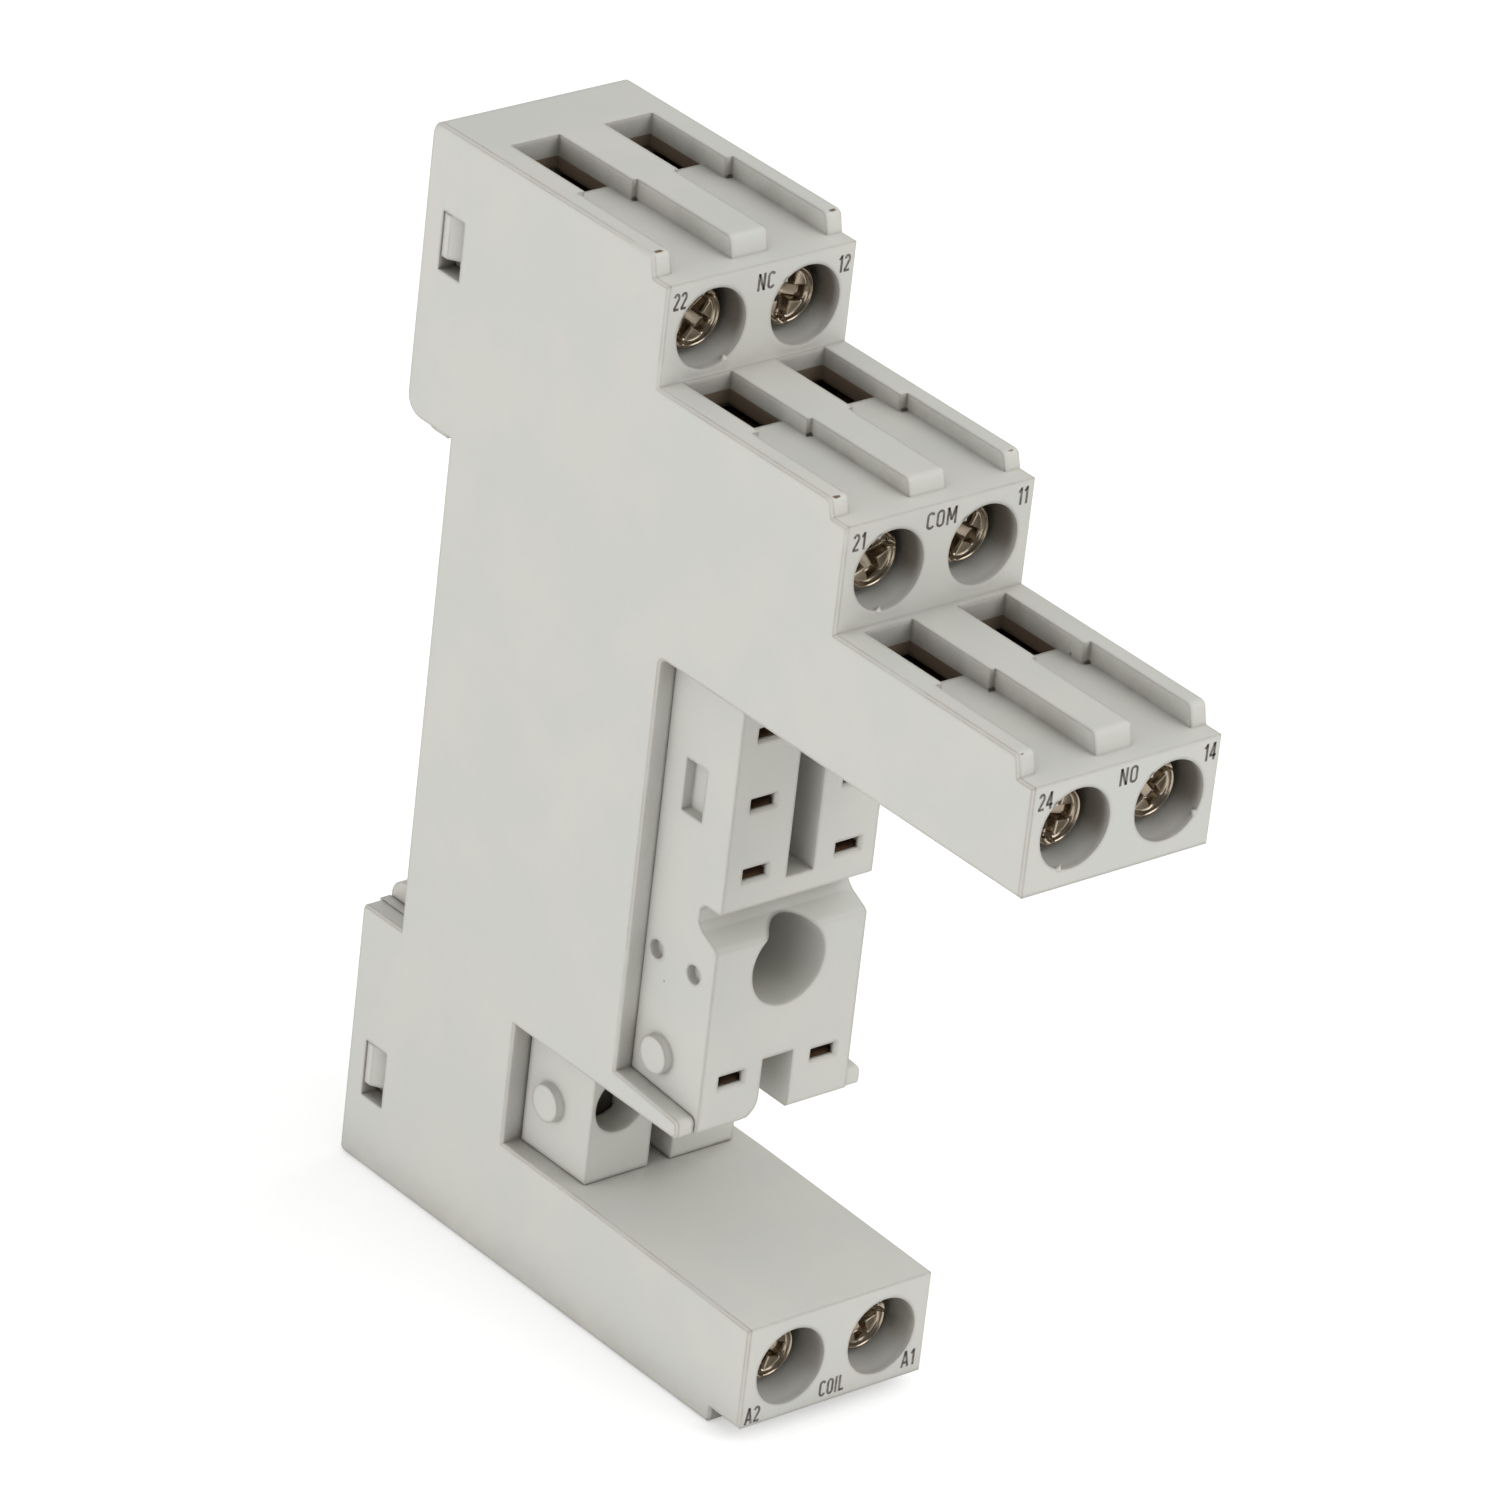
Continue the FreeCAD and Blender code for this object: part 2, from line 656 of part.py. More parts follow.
seat_tools.append(cut("LegCorner", box(
    "LegCornerBlock", "-notch_wide / 2 - leg_round", "cutter_past - notch_wide / 2", "seat_front - notch_deep",
    "seat_front + cutter_past", "seat_under - cutter_past", "seat_under + leg_round"), [
        rod("LegCornerRound", "leg_round", "-notch_wide / 2 - leg_round", "seat_under + leg_round",
            "seat_front - notch_deep - cutter_past", "seat_front + 2 * cutter_past")]))
for side in (-1, 1):
    x = "column" if side > 0 else "-column"
    tag = "LR"[side > 0]
    seat_tools.append(rod("Probe_" + tag, "probe_radius", x, "probe_high", "riser_coil",
                          "foot_front + corner_round"))
    deep = mirrored("seat_wide / 2 - pip_deep", "seat_wide / 2 + corner_round", side)
    for i, depth in enumerate(("pip1_depth", "pip2_depth")):
        seat_tools.append(stub("Pip_%s%d" % (tag, i), "pip_dia / 2", depth, "pip_high", *deep))
    pit = mirrored("seat_wide / 2 - catch_deep", "seat_wide / 2 + corner_round", side)
    seat_tools.append(box("Catch_" + tag, *pit, "catch_rear", "catch_front", "catch_low", "catch_top"))
seat_cut = cut("SeatCut", seat, seat_tools)
seat_adds = [seat_cut]
for side in (-1, 1):
    tag = "LR"[side > 0]
    raised = mirrored("seat_wide / 2 - pip_deep", "seat_wide / 2 + boss_rise", side)
    seat_adds.append(stub("BossUpper_" + tag, "boss_dia / 2", "boss1_depth", "boss1_high", *raised))
    seat_adds.append(stub("BossLower_" + tag, "boss_dia / 2", "boss2_depth", "boss2_high", *raised))
relay_seat = fuse("RelaySeat", seat_adds)
relay_seat.Refine = True

# Rail base: a plug between the side walls, with the fixed lip above and the latch guide below
base = doc.addObject("PartDesign::Body", "BaseBlock")
web_front = "notch_floor + web_thick"
base_line = [
    ("-hook_back", "base_top"),
    ("base_upper_deep", "base_top"),
    ("base_upper_deep", "notch_high + base_shoulder"),
    (web_front, "notch_high + base_shoulder"),
    (web_front, "base_low"),
    ("0", "base_low"),
    ("0", "notch_low"),
    ("notch_floor", "notch_low"),
    ("notch_floor", "notch_high"),
    ("lip_front", "notch_high"),
    ("lip_front", "notch_high - lip_drop"),
    ("-hook_back", "notch_high - lip_drop"),
]
base_block = pad(base, side_sketch(base, "BaseOutline", base_line), "base_wide", "BasePad")
fillet(base, base_block, edges_along_x(base_block, [("-hook_back", "notch_high - lip_drop")]), "hook_round",
       "LipRound")
base_tools = [
    box("GuideDeep", "-latch_wide / 2 - latch_gap", "latch_wide / 2 + latch_gap", "latch_rear - latch_gap",
        "latch_front + latch_gap", "base_low - corner_round", "notch_low + corner_round"),
    box("GuideStem", "-latch_stem / 2 - latch_gap", "latch_stem / 2 + latch_gap", "-corner_round",
        "latch_rear", "base_low - corner_round", "notch_low + corner_round"),
    box("GuideHead", "-latch_wide / 2 - latch_gap", "latch_wide / 2 + latch_gap", "-corner_round",
        "latch_rear", "notch_low - latch_crown - latch_travel - latch_gap", "notch_low + corner_round"),
]
base_cut = cut("BaseCut", base, base_tools)
ledge_low = "window_low + ledge_gap"
ledge_top = ledge_low + " + ledge_tall"
base_adds = [base_cut, box("Ledge", "-spring_dia / 2", "spring_dia / 2", "latch_rear", web_front, ledge_low,
                           ledge_top)]
for side in (-1, 1):
    for i, (rear, low) in enumerate(lug_spans()):
        tag = "%d_%d" % (i, side + 1)
        flat = mirrored("width / 2 - side_wall - lug_root", "width / 2 - lug_line", side)
        toe = mirrored("width / 2 - side_wall - lug_root", "width / 2 - side_wall + lug_toe", side)
        rise = (low + " + lug_gap_low", low + " + lug_tall - lug_line")
        base_adds.append(box("LugFlat_" + tag, *flat, rear + " + lug_line", rear + " + lug_flat", *rise))
        base_adds.append(wedge("LugRamp_" + tag, rear + " + lug_flat", flat + rise,
                               rear + " + lug_long - lug_line", toe + rise))
rail_base = fuse("RailBase", base_adds)
rail_base.Refine = True

# Rail latch: a guided plate whose round nose stands behind the rail's lower edge
latch = doc.addObject("PartDesign::Body", "LatchPlate")
latch_line = [
    ("0", "latch_low"),
    ("0", "notch_low + latch_rise"),
    ("lip_front", "notch_low + latch_rise"),
    ("lip_front", "notch_low - latch_gap"),
    ("latch_front", "notch_low - latch_gap"),
    ("latch_front", "latch_low"),
]
latch_pad = pad(latch, side_sketch(latch, "LatchOutline", latch_line), "latch_wide", "LatchPad")
fillet(latch, latch_pad, edges_along_x(latch_pad, [("0", "notch_low + latch_rise")]),
       "latch_rise - latch_gap", "NoseRound")
latch_tools = [
    box("LatchWindow", "-window_wide / 2", "window_wide / 2", "-corner_round", "latch_front + corner_round",
        "window_low", "window_top"),
    box("ReleaseSlot", "-release_wide / 2", "release_wide / 2", "latch_rear - latch_gap",
        "latch_front + corner_round", "release_low", "release_low + release_tall"),
]
for side in (-1, 1):
    beside = mirrored("latch_stem / 2", "latch_wide / 2 + corner_round", side)
    latch_tools.append(box("Shoulder_" + "LR"[side > 0], *beside, "-corner_round", "latch_rear",
                           "latch_low - corner_round", "notch_low - latch_crown"))
rail_latch = cut("RailLatch", latch, latch_tools)

# Coil spring between the ledge of the base and the upper edge of the latch window
coil_path = doc.addObject("Part::Helix", "SpringPath")
coil_path.setExpression("Radius", bind("(spring_dia - spring_wire) / 2"))
coil_path.setExpression("Pitch", bind("spring_pitch"))
coil_path.setExpression("Height", bind("window_top - (%s) - spring_wire - 2 * ledge_gap" % ledge_top))
coil_ring = doc.addObject("Sketcher::SketchObject", "SpringWire")
coil_ring.Placement = FreeCAD.Placement(V(0, 0, 0), FreeCAD.Rotation(V(1, 0, 0), 90))
close(coil_ring, [("(spring_dia - spring_wire) / 2 + spring_wire / 2 * cos(%d)" % turn,
                   "spring_wire / 2 * sin(%d)" % turn) for turn in range(30, 390, 60)])
spring = doc.addObject("Part::Sweep", "LatchSpring")
spring.Sections = [coil_ring]
spring.Spine = (coil_path, [])
spring.Solid = True
spring.Frenet = True
spring.setExpression("Placement.Base.y", bind(along("(latch_rear + latch_front) / 2")))
spring.setExpression("Placement.Base.z", bind("%s + spring_wire / 2 + ledge_gap" % ledge_top))


def place(body, x, depth, high, turn=0):
    """Set a locally drawn piece on its axis, turned about that axis."""
    body.Placement = FreeCAD.Placement(V(0, 0, 0), FreeCAD.Rotation(V(0, 1, 0), turn))
    body.setExpression("Placement.Base.x", bind(x))
    body.setExpression("Placement.Base.y", bind(along(depth)))
    body.setExpression("Placement.Base.z", bind(high))


def plane_sketch(body, name, role, offset="0"):
    """An empty sketch on one of the body's own planes."""
    sketch = body.newObject("Sketcher::SketchObject", name)
    sketch.AttachmentSupport = [([f for f in body.Origin.OriginFeatures if f.Role == role][0], "")]
    sketch.MapMode = "FlatFace"
    sketch.setExpression("AttachmentOffset.Base.z", bind(offset))
    return sketch


def make_screw(name, tier, x):
    """Cheese-head screw with a cross recess, drawn with its head's front at its own origin."""
    body = doc.addObject("PartDesign::Body", "Screw_" + name)
    sketch = plane_sketch(body, "ScrewLine_" + name, "YZ_Plane")
    close(sketch, [("0", "0"), ("0", "head_dia / 2 - head_round"), ("head_round", "head_dia / 2"),
                   ("head_long", "head_dia / 2"), ("head_long", "shaft_dia / 2"),
                   ("head_long + shaft_long", "shaft_dia / 2"), ("head_long + shaft_long", "0")])
    turned = body.newObject("PartDesign::Revolution", "ScrewTurned_" + name)
    turned.Profile = sketch
    turned.ReferenceAxis = (sketch, ["H_Axis"])
    turned.Angle = 360
    doc.recompute()
    cross = plane_sketch(body, "Cross_" + name, "XZ_Plane")
    near, far = "recess_wide / 2", "recess_reach"
    star = [(far, near), (near, near), (near, far), ("-" + near, far), ("-" + near, near), ("-" + far, near),
            ("-" + far, "-" + near), ("-" + near, "-" + near), ("-" + near, "-" + far), (near, "-" + far),
            (near, "-" + near), (far, "-" + near)]
    close(cross, star)
    recess = body.newObject("PartDesign::Pocket", "Recess_" + name)
    recess.Profile = cross
    recess.SideType = "Symmetric"
    recess.setExpression("Length", bind("2 * recess_deep"))
    doc.recompute()
    place(body, x, "%s - %s_head" % (front_of(tier), tier), "%s_axis" % tier, TURNS[name])
    return body


def make_clamp(name, tier, x):
    """Rising cage: a thick threaded front wall, thin sides and a rear wall that presses on the wire."""
    body = doc.addObject("PartDesign::Body", "Clamp_" + name)
    outer = plane_sketch(body, "CageOuter_" + name, "XY_Plane")
    half, inner = "cage_wide / 2", "cage_wide / 2 - cage_side"
    front, rear = "-cage_lead - cage_front", "cage_mouth + cage_rear - cage_lead"
    close(outer, [("-" + half, front), (half, front), (half, rear), ("-" + half, rear)])
    ring = pad(body, outer, "cage_tall", "Cage_" + name)
    uprights = ["Edge%d" % i for i, e in enumerate(ring.Shape.Edges, 1)
                if abs(e.Vertexes[0].Point.z - e.Vertexes[-1].Point.z) > num("cage_tall") / 2]
    bevel(body, ring, uprights, "cage_bevel", "CageCorners_" + name)
    hollow = plane_sketch(body, "CageHollow_" + name, "XY_Plane")
    close(hollow, [("-(%s)" % inner, "-cage_lead"), (inner, "-cage_lead"),
                   (inner, "cage_mouth - cage_lead"), ("-(%s)" % inner, "cage_mouth - cage_lead")])
    pocket = body.newObject("PartDesign::Pocket", "CagePocket_" + name)
    pocket.Profile = hollow
    pocket.SideType = "Symmetric"
    pocket.setExpression("Length", bind("cage_tall + corner_round"))
    doc.recompute()
    thread = plane_sketch(body, "ThreadLine_" + name, "XZ_Plane", "cage_lead + cage_front / 2")
    thread.addGeometry(Part.Circle(V(0, 0, 0), V(0, 0, 1), num("shaft_dia / 2 + run_fit")))
    thread.addConstraint(Sketcher.Constraint("Coincident", 0, 3, -1, 1))
    held = thread.addConstraint(Sketcher.Constraint("Radius", 0, num("shaft_dia / 2 + run_fit")))
    thread.setExpression("Constraints[%d]" % held, bind("shaft_dia / 2 + run_fit"))
    hole = body.newObject("PartDesign::Pocket", "ThreadHole_" + name)
    hole.Profile = thread
    hole.SideType = "Symmetric"
    hole.setExpression("Length", bind("cage_front + cage_lead"))
    doc.recompute()
    place(body, x, "%s - %s" % (front_of(tier), tip_of(tier)), "%s_axis" % tier)
    return body


def make_contact(name, tier, x):
    """Bent strip from the clamp to the pin receptacle behind its slot."""
    body = doc.addObject("PartDesign::Body", "Contact_" + name)
    path = PATHS[tier]
    strip = pad(body, side_sketch(body, "StripLine_" + name, ribbon(path, "strip_thick / 2"), x),
                "strip_wide", "Strip_" + name)
    root, row = path[-1]
    fork = side_sketch(body, "ForkLine_" + name, fork_outline(root, row), x)
    pad(body, fork, "strip_wide", "Fork_" + name)
    return body


NODES = {"housing": housing, "relay_seat": relay_seat, "rail_base": rail_base, "rail_latch": rail_latch,
         "latch_spring": spring}
for tier, data in TIERS.items():
    for side, name in zip((-1, 1), data["names"]):
        x = "column" if side > 0 else "-column"
        NODES["screw_" + name] = make_screw(name, tier, x)
        NODES["clamp_" + name] = make_clamp(name, tier, x)
        NODES["contact_" + name] = make_contact(name, tier, x)
for label, piece in NODES.items():
    piece.Label = label
doc.recompute()

# Every feature has to be sound before anything is written
for piece in doc.Objects:
    if "Invalid" in piece.State or "Error" in piece.State:
        raise RuntimeError("feature failed: " + piece.Name)
for label, piece in NODES.items():
    shape = piece.Shape
    if shape.isNull() or not shape.isValid() or len(shape.Solids) != 1:
        raise RuntimeError("not one sound solid: %s (%d)" % (label, len(shape.Solids)))

os.makedirs("parts", exist_ok=True)
for label, piece in NODES.items():
    piece.Shape.exportStep("parts/%s.step" % label)
    bounds = piece.Shape.BoundBox
    print("%-14s %8.1f mm3  X %6.2f %6.2f  Y %6.2f %6.2f  Z %6.2f %6.2f" % (
        label, piece.Shape.Volume, bounds.XMin, bounds.XMax, bounds.YMin, bounds.YMax, bounds.ZMin,
        bounds.ZMax))
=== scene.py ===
"""Looks of a stepped relay socket: moulded plastic, terminal screws, clamps, contacts and printed marks."""

import logging
import math
from collections.abc import Iterable
from dataclasses import dataclass, field
from enum import Enum

import bpy
from mathutils import Matrix, Vector


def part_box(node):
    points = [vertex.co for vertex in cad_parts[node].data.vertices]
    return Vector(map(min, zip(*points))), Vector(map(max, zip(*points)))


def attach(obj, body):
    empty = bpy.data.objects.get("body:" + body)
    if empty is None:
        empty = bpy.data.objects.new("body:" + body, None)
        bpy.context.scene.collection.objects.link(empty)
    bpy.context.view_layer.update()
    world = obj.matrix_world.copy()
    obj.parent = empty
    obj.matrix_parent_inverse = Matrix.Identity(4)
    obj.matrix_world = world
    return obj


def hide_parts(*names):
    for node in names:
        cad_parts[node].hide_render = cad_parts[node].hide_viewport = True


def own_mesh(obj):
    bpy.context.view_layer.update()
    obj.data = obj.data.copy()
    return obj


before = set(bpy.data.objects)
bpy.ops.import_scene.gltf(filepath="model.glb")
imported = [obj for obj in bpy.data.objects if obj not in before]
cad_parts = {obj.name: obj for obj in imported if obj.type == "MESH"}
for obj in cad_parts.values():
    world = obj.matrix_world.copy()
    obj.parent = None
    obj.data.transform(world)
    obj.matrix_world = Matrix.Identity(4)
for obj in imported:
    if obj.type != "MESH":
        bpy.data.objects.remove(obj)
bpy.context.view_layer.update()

MM = 0.001
LOG = logging.getLogger("relay_socket")

Triple = tuple[float, float, float]
Color = Triple
Span = tuple[float, float]
Spots = tuple[tuple[float, ...], ...]
Stroke = list[tuple[float, float]]
Points = list[Vector]
Faces = list[tuple[int, ...]]
Material = bpy.types.Material
Node = bpy.types.Node
Socket = bpy.types.NodeSocket
Sockets = bpy.types.bpy_prop_collection

# X of the right column of terminals, and the radius of the bores in the tier fronts, in millimetres
COLUMN = 3.75
BORE_RADIUS = 2.75


class Tier(Enum):
    """The four terminal tiers, named from the top down."""

    NORMALLY_CLOSED = "nc"
    COMMON = "com"
    NORMALLY_OPEN = "no"
    COIL = "coil"


class Side(Enum):
    """Left or right column of a tier, as the sign of X."""

    LEFT = -1
    RIGHT = 1


class Look(Enum):
    """Which finish a carried-over solid gets."""

    HOUSING = "housing"
    SEAT = "seat"
    BASE = "base"
    ZINC = "zinc"
    COPPER = "copper"
    SPRING = "spring"


def metres(labels: str, sizes: Iterable[float]) -> dict[str, float]:
    """Name sizes given in millimetres, and turn them into metres."""
    return {label: size * MM for label, size in zip(labels.split(), sizes)}


@dataclass(frozen=True)
class Face:
    """Front face of a tier in millimetres: its Y place, screw axis, duct mouth and two terminals."""

    tier: Tier
    y: float
    axis: float
    mouth: float
    terminals: tuple[str, str]


FACES = (
    Face(Tier.NORMALLY_CLOSED, 6.875, 69.68, 73.3, ("22", "12")),
    Face(Tier.COMMON, -11.875, 61.5, 65.25, ("21", "11")),
    Face(Tier.NORMALLY_OPEN, -31.025, 52.85, 56.5, ("24", "14")),
    Face(Tier.COIL, -11.775, 4.7, 1.1, ("a2", "a1")),
)


class Wiring:
    """Places nodes in one node tree and joins them."""

    def __init__(self, tree: bpy.types.NodeTree) -> None:
        """Keep the node tree of a material or a group."""
        self.tree = tree

    def node(self, kind: str, **settings: object) -> Node:
        """Add a node.

        Args:
            kind: Blender's type name of the node.
            settings: Properties of the node to set.

        Returns:
            The new node.
        """
        made = self.tree.nodes.new(kind)
        for name, value in settings.items():
            setattr(made, name, value)
        return made

    def join(self, source: Socket, target: Socket) -> None:
        """Link an output to an input."""
        self.tree.links.new(source, target)

    def group(self, name: str, **values: float) -> Sockets:
        """Place a shared group.

        Args:
            name: The group's name.
            values: Input names, with underscores for spaces, and their values.

        Returns:
            Its outputs.
        """
        placed = self.node("ShaderNodeGroup", node_tree=bpy.data.node_groups[name])
        for label, value in values.items():
            placed.inputs[label.replace("_", " ")].default_value = value
        return placed.outputs

    def put(self, value: object, socket: Socket) -> None:
        """Feed an input from another socket, or set its own value.

        Args:
            value: A socket, a number or a colour.
            socket: The input.
        """
        if isinstance(value, Socket):
            self.join(value, socket)
        else:
            socket.default_value = (*value, 1.0) if isinstance(value, tuple) else value

    def place(self) -> Socket:
        """Object coordinates as a vector, in metres."""
        return self.node("ShaderNodeTexCoord").outputs["Object"]

    def parts(self) -> Sockets:
        """Split the object coordinates.

        Returns:
            The outputs X, Y and Z.
        """
        split = self.node("ShaderNodeSeparateXYZ")
        self.join(self.place(), split.inputs[0])
        return split.outputs

    def math(self, operation: str, *values: object) -> Socket:
        """Add a Math node.

        Args:
            operation: The operation's name.
            values: Its sockets or numbers.

        Returns:
            The output socket.
        """
        made = self.node("ShaderNodeMath", operation=operation)
        for socket, value in zip(made.inputs, values):
            self.put(value, socket)
        return made.outputs[0]

    def times(self, first: object, *others: object) -> Socket:
        """Multiply sockets and numbers in their order.

        Args:
            first: A socket or a number.
            others: Sockets or numbers.

        Returns:
            The product.
        """
        for other in others:
            first = self.math("MULTIPLY", first, other)
        return first

    def flip(self, value: Socket) -> Socket:
        """One minus a value."""
        return self.math("SUBTRACT", 1.0, value)

    def slope(self, value: Socket, rise: object, start: object) -> Socket:
        """A value times a rise, plus a start."""
        return self.math("ADD", self.math("MULTIPLY", value, rise), start)

    def vector(self, operation: str, *values: Socket) -> Socket:
        """Add a Vector Math node.

        Args:
            operation: The operation's name.
            values: The sockets that feed it.

        Returns:
            The output socket.
        """
        made = self.node("ShaderNodeVectorMath", operation=operation)
        for socket, value in zip(made.inputs, values):
            self.join(value, socket)
        return made.outputs["Value" if operation in ("DOT_PRODUCT", "LENGTH") else "Vector"]

    def blend(self, mask: Socket, first: object, second: object) -> Socket:
        """Mix two colours by a mask.

        Args:
            mask: Socket from 0, the first colour, to 1, the second.
            first: A colour or a socket.
            second: A colour or a socket.

        Returns:
            The colour socket.
        """
        made = self.node("ShaderNodeMix", data_type="RGBA")
        self.join(mask, made.inputs["Factor"])
        self.put(first, made.inputs[6])
        self.put(second, made.inputs[7])
        return made.outputs[2]

    def noise(self, place: Socket, scale: object, detail: float = 3.0, rough: float = 0.5) -> Socket:
        """Add a noise texture.

        Args:
            place: Vector socket that the noise is read at.
            scale: Waves per metre, as a socket or a number.
            detail: Octaves.
            rough: Weight of the finer octaves.

        Returns:
            The noise value.
        """
        made = self.node("ShaderNodeTexNoise")
        for label, value in (("Vector", place), ("Scale", scale), ("Detail", detail), ("Roughness", rough)):
            self.put(value, made.inputs[label])
        return made.outputs["Fac"]

    def ramp(self, value: Socket, low: float, high: float) -> Socket:
        """Stretch the span from low to high over 0 to 1, smoothly.

        Args:
            value: The socket to stretch.
            low: The value that gives 0.
            high: The value that gives 1.

        Returns:
            The stretched value.
        """
        made = self.node("ShaderNodeMapRange", interpolation_type="SMOOTHSTEP")
        for label, part in (("Value", value), ("From Min", low), ("From Max", high)):
            self.put(part, made.inputs[label])
        return made.outputs["Result"]


@dataclass
class SharedEffects:
    """Node groups that several finishes place with their own values."""

    edge_span: Span = (0.006, 0.08)
    open_span: Span = (0.5, 0.72)
    closed_span: Span = (0.22, 0.92)
    patch_scale: float = 300.0
    patch_span: Span = (0.35, 0.66)
    # How patchy the painted shade in corners and hollows is
    patch_shade: float = 0.3
    duct_middle: float = 0.00372
    duct_half: float = 0.0021
    duct_fade: Span = (0.002, 0.03)
    ragged_scale: float = 4200.0
    ragged_reach: float = 1.1
    ragged_rim: float = 1.55
    ragged_fade: float = 0.5
    bore_fade: Span = (0.00005, 0.0008)
    bed_span: Span = (0.12, 0.8)
    speck_radius: float = 0.045
    speck_rarity: float = 0.86
    scuff_turn: Triple = (0.4, 0.9, 0.3)
    scuff_draw: Triple = (1.0, 14.0, 1.0)
    scuff_scale: float = 150.0
    scuff_span: Span = (0.66, 0.74)

    def build(self) -> None:
        """Build every group once."""
        for make in (self._grain, self._edges_and_shade, self._specks, self._duct, self._ragged_spot, self._bore):
            make()

    @staticmethod
    def _group(name: str, inputs: dict[str, float],
               outputs: tuple[str, ...]) -> tuple[Wiring, Sockets, Sockets]:
        """Make an empty group with float sockets.

        Args:
            name: The group's name.
            inputs: Input names with their starting values.
            outputs: Output names, of which Normal is a vector.

        Returns:
            The wiring, the sockets that bring the inputs, and those that take the outputs.
        """
        tree = bpy.data.node_groups.new(name, "ShaderNodeTree")
        for label, value in inputs.items():
            socket = tree.interface.new_socket(name=label, in_out="INPUT", socket_type="NodeSocketFloat")
            socket.default_value = value
        for label in outputs:
            kind = "NodeSocketVector" if label == "Normal" else "NodeSocketFloat"
            tree.interface.new_socket(name=label, in_out="OUTPUT", socket_type=kind)
        wires = Wiring(tree)
        return wires, wires.node("NodeGroupInput").outputs, wires.node("NodeGroupOutput").inputs

    def _grain(self) -> None:
        """Fine relief and slow mottling."""
        wires, ins, outs = self._group("fine_grain", {"Scale": 9000.0, "Mottle Scale": 120.0},
                                       ("Relief", "Mottle"))
        place = wires.place()
        for scale, out, octaves in (("Scale", "Relief", 2.0), ("Mottle Scale", "Mottle", 4.0)):
            wires.join(wires.noise(place, ins[scale], octaves), outs[out])

    def _edges_and_shade(self) -> None:
        """Mask of the outer edges for wear and a painted highlight, painted shade in corners and hollows
        from ambient occlusion, and a normal that rounds the edges.
        """
        wires, ins, outs = self._group("edges_and_shade", {"Edge Width": 0.0001, "Rounding": 0.0004, "Breakup": 0.5,
                                                "Reach": 0.002}, ("Edge", "Hollow_Shade", "Normal"))
        soft = wires.node("ShaderNodeBevel", samples=4)
        wires.join(ins["Rounding"], soft.inputs["Radius"])
        wires.join(soft.outputs["Normal"], outs["Normal"])
        bevel = wires.node("ShaderNodeBevel", samples=4)
        wires.join(ins["Edge Width"], bevel.inputs["Radius"])
        solid = wires.node("ShaderNodeNewGeometry")
        agree = wires.vector("DOT_PRODUCT", bevel.outputs["Normal"], solid.outputs["Normal"])
        edge = wires.ramp(wires.flip(agree), *self.edge_span)
        near = wires.node("ShaderNodeAmbientOcclusion", samples=5)
        wires.join(ins["Reach"], near.inputs["Distance"])
        patchy = wires.noise(wires.place(), self.patch_scale, detail=4.0, rough=0.6)
        patches = wires.ramp(patchy, *self.patch_span)
        broken = wires.slope(patches, ins["Breakup"], wires.flip(ins["Breakup"]))
        open_side = wires.ramp(near.outputs["AO"], *self.open_span)
        wires.join(wires.times(edge, open_side, broken), outs["Edge"])
        # Painted shade: darker where ambient occlusion finds the surface closed in
        closed = wires.ramp(wires.flip(near.outputs["AO"]), *self.closed_span)
        uneven = wires.slope(patches, self.patch_shade, 1.0 - self.patch_shade)
        wires.join(wires.times(closed, uneven), outs["Hollow_Shade"])

    def _duct(self) -> None:
        """Mask of painted shade on the walls of a tier's two wire ducts, from the mouth's level inwards,
        placed in metres.
        """
        wires, ins, outs = self._group("duct_walls", {"Front": 0.0, "Rear": 0.01, "Mouth": 0.07,
                                                      "Inner": 0.06}, ("Mask",))
        place = wires.parts()
        side = wires.math("COMPARE", wires.math("ABSOLUTE", place["X"]), self.duct_middle, self.duct_half)
        ahead = wires.math("GREATER_THAN", place["Y"], ins["Front"])
        behind = wires.math("LESS_THAN", place["Y"], ins["Rear"])
        span = wires.math("DIVIDE", wires.math("SUBTRACT", place["Z"], ins["Mouth"]),
                          wires.math("SUBTRACT", ins["Inner"], ins["Mouth"]))
        depth = wires.times(wires.ramp(span, *self.duct_fade), wires.math("LESS_THAN", span, 1.0))
        wires.join(wires.times(wires.times(side, ahead, behind), depth), outs["Mask"])

    def _ragged_spot(self) -> None:
        """Mask of one ragged spot about a point, used for stains and painted shadows, placed in metres and
        stretched along X.
        """
        wires, ins, outs = self._group("ragged_spot", {"X": 0.0, "Y": 0.0, "Z": 0.0, "Size": 0.0003,
                                                 "Stretch": 1.0}, ("Mask",))
        place = wires.place()
        middle, drawn = wires.node("ShaderNodeCombineXYZ"), wires.node("ShaderNodeCombineXYZ")
        for axis, stretch in (("X", ins["Stretch"]), ("Y", 1.0), ("Z", 1.0)):
            wires.join(ins[axis], middle.inputs[axis])
            wires.put(stretch, drawn.inputs[axis])
        apart = wires.vector("SUBTRACT", place, middle.outputs["Vector"])
        even = wires.vector("DIVIDE", apart, drawn.outputs["Vector"])
        share = wires.math("DIVIDE", wires.vector("LENGTH", even), ins["Size"])
        rough = wires.times(wires.noise(place, self.ragged_scale, rough=0.6), self.ragged_reach)
        ragged = wires.math("SUBTRACT", self.ragged_rim, wires.math("ADD", share, rough))
        wires.join(wires.ramp(ragged, 0.0, self.ragged_fade), outs["Mask"])

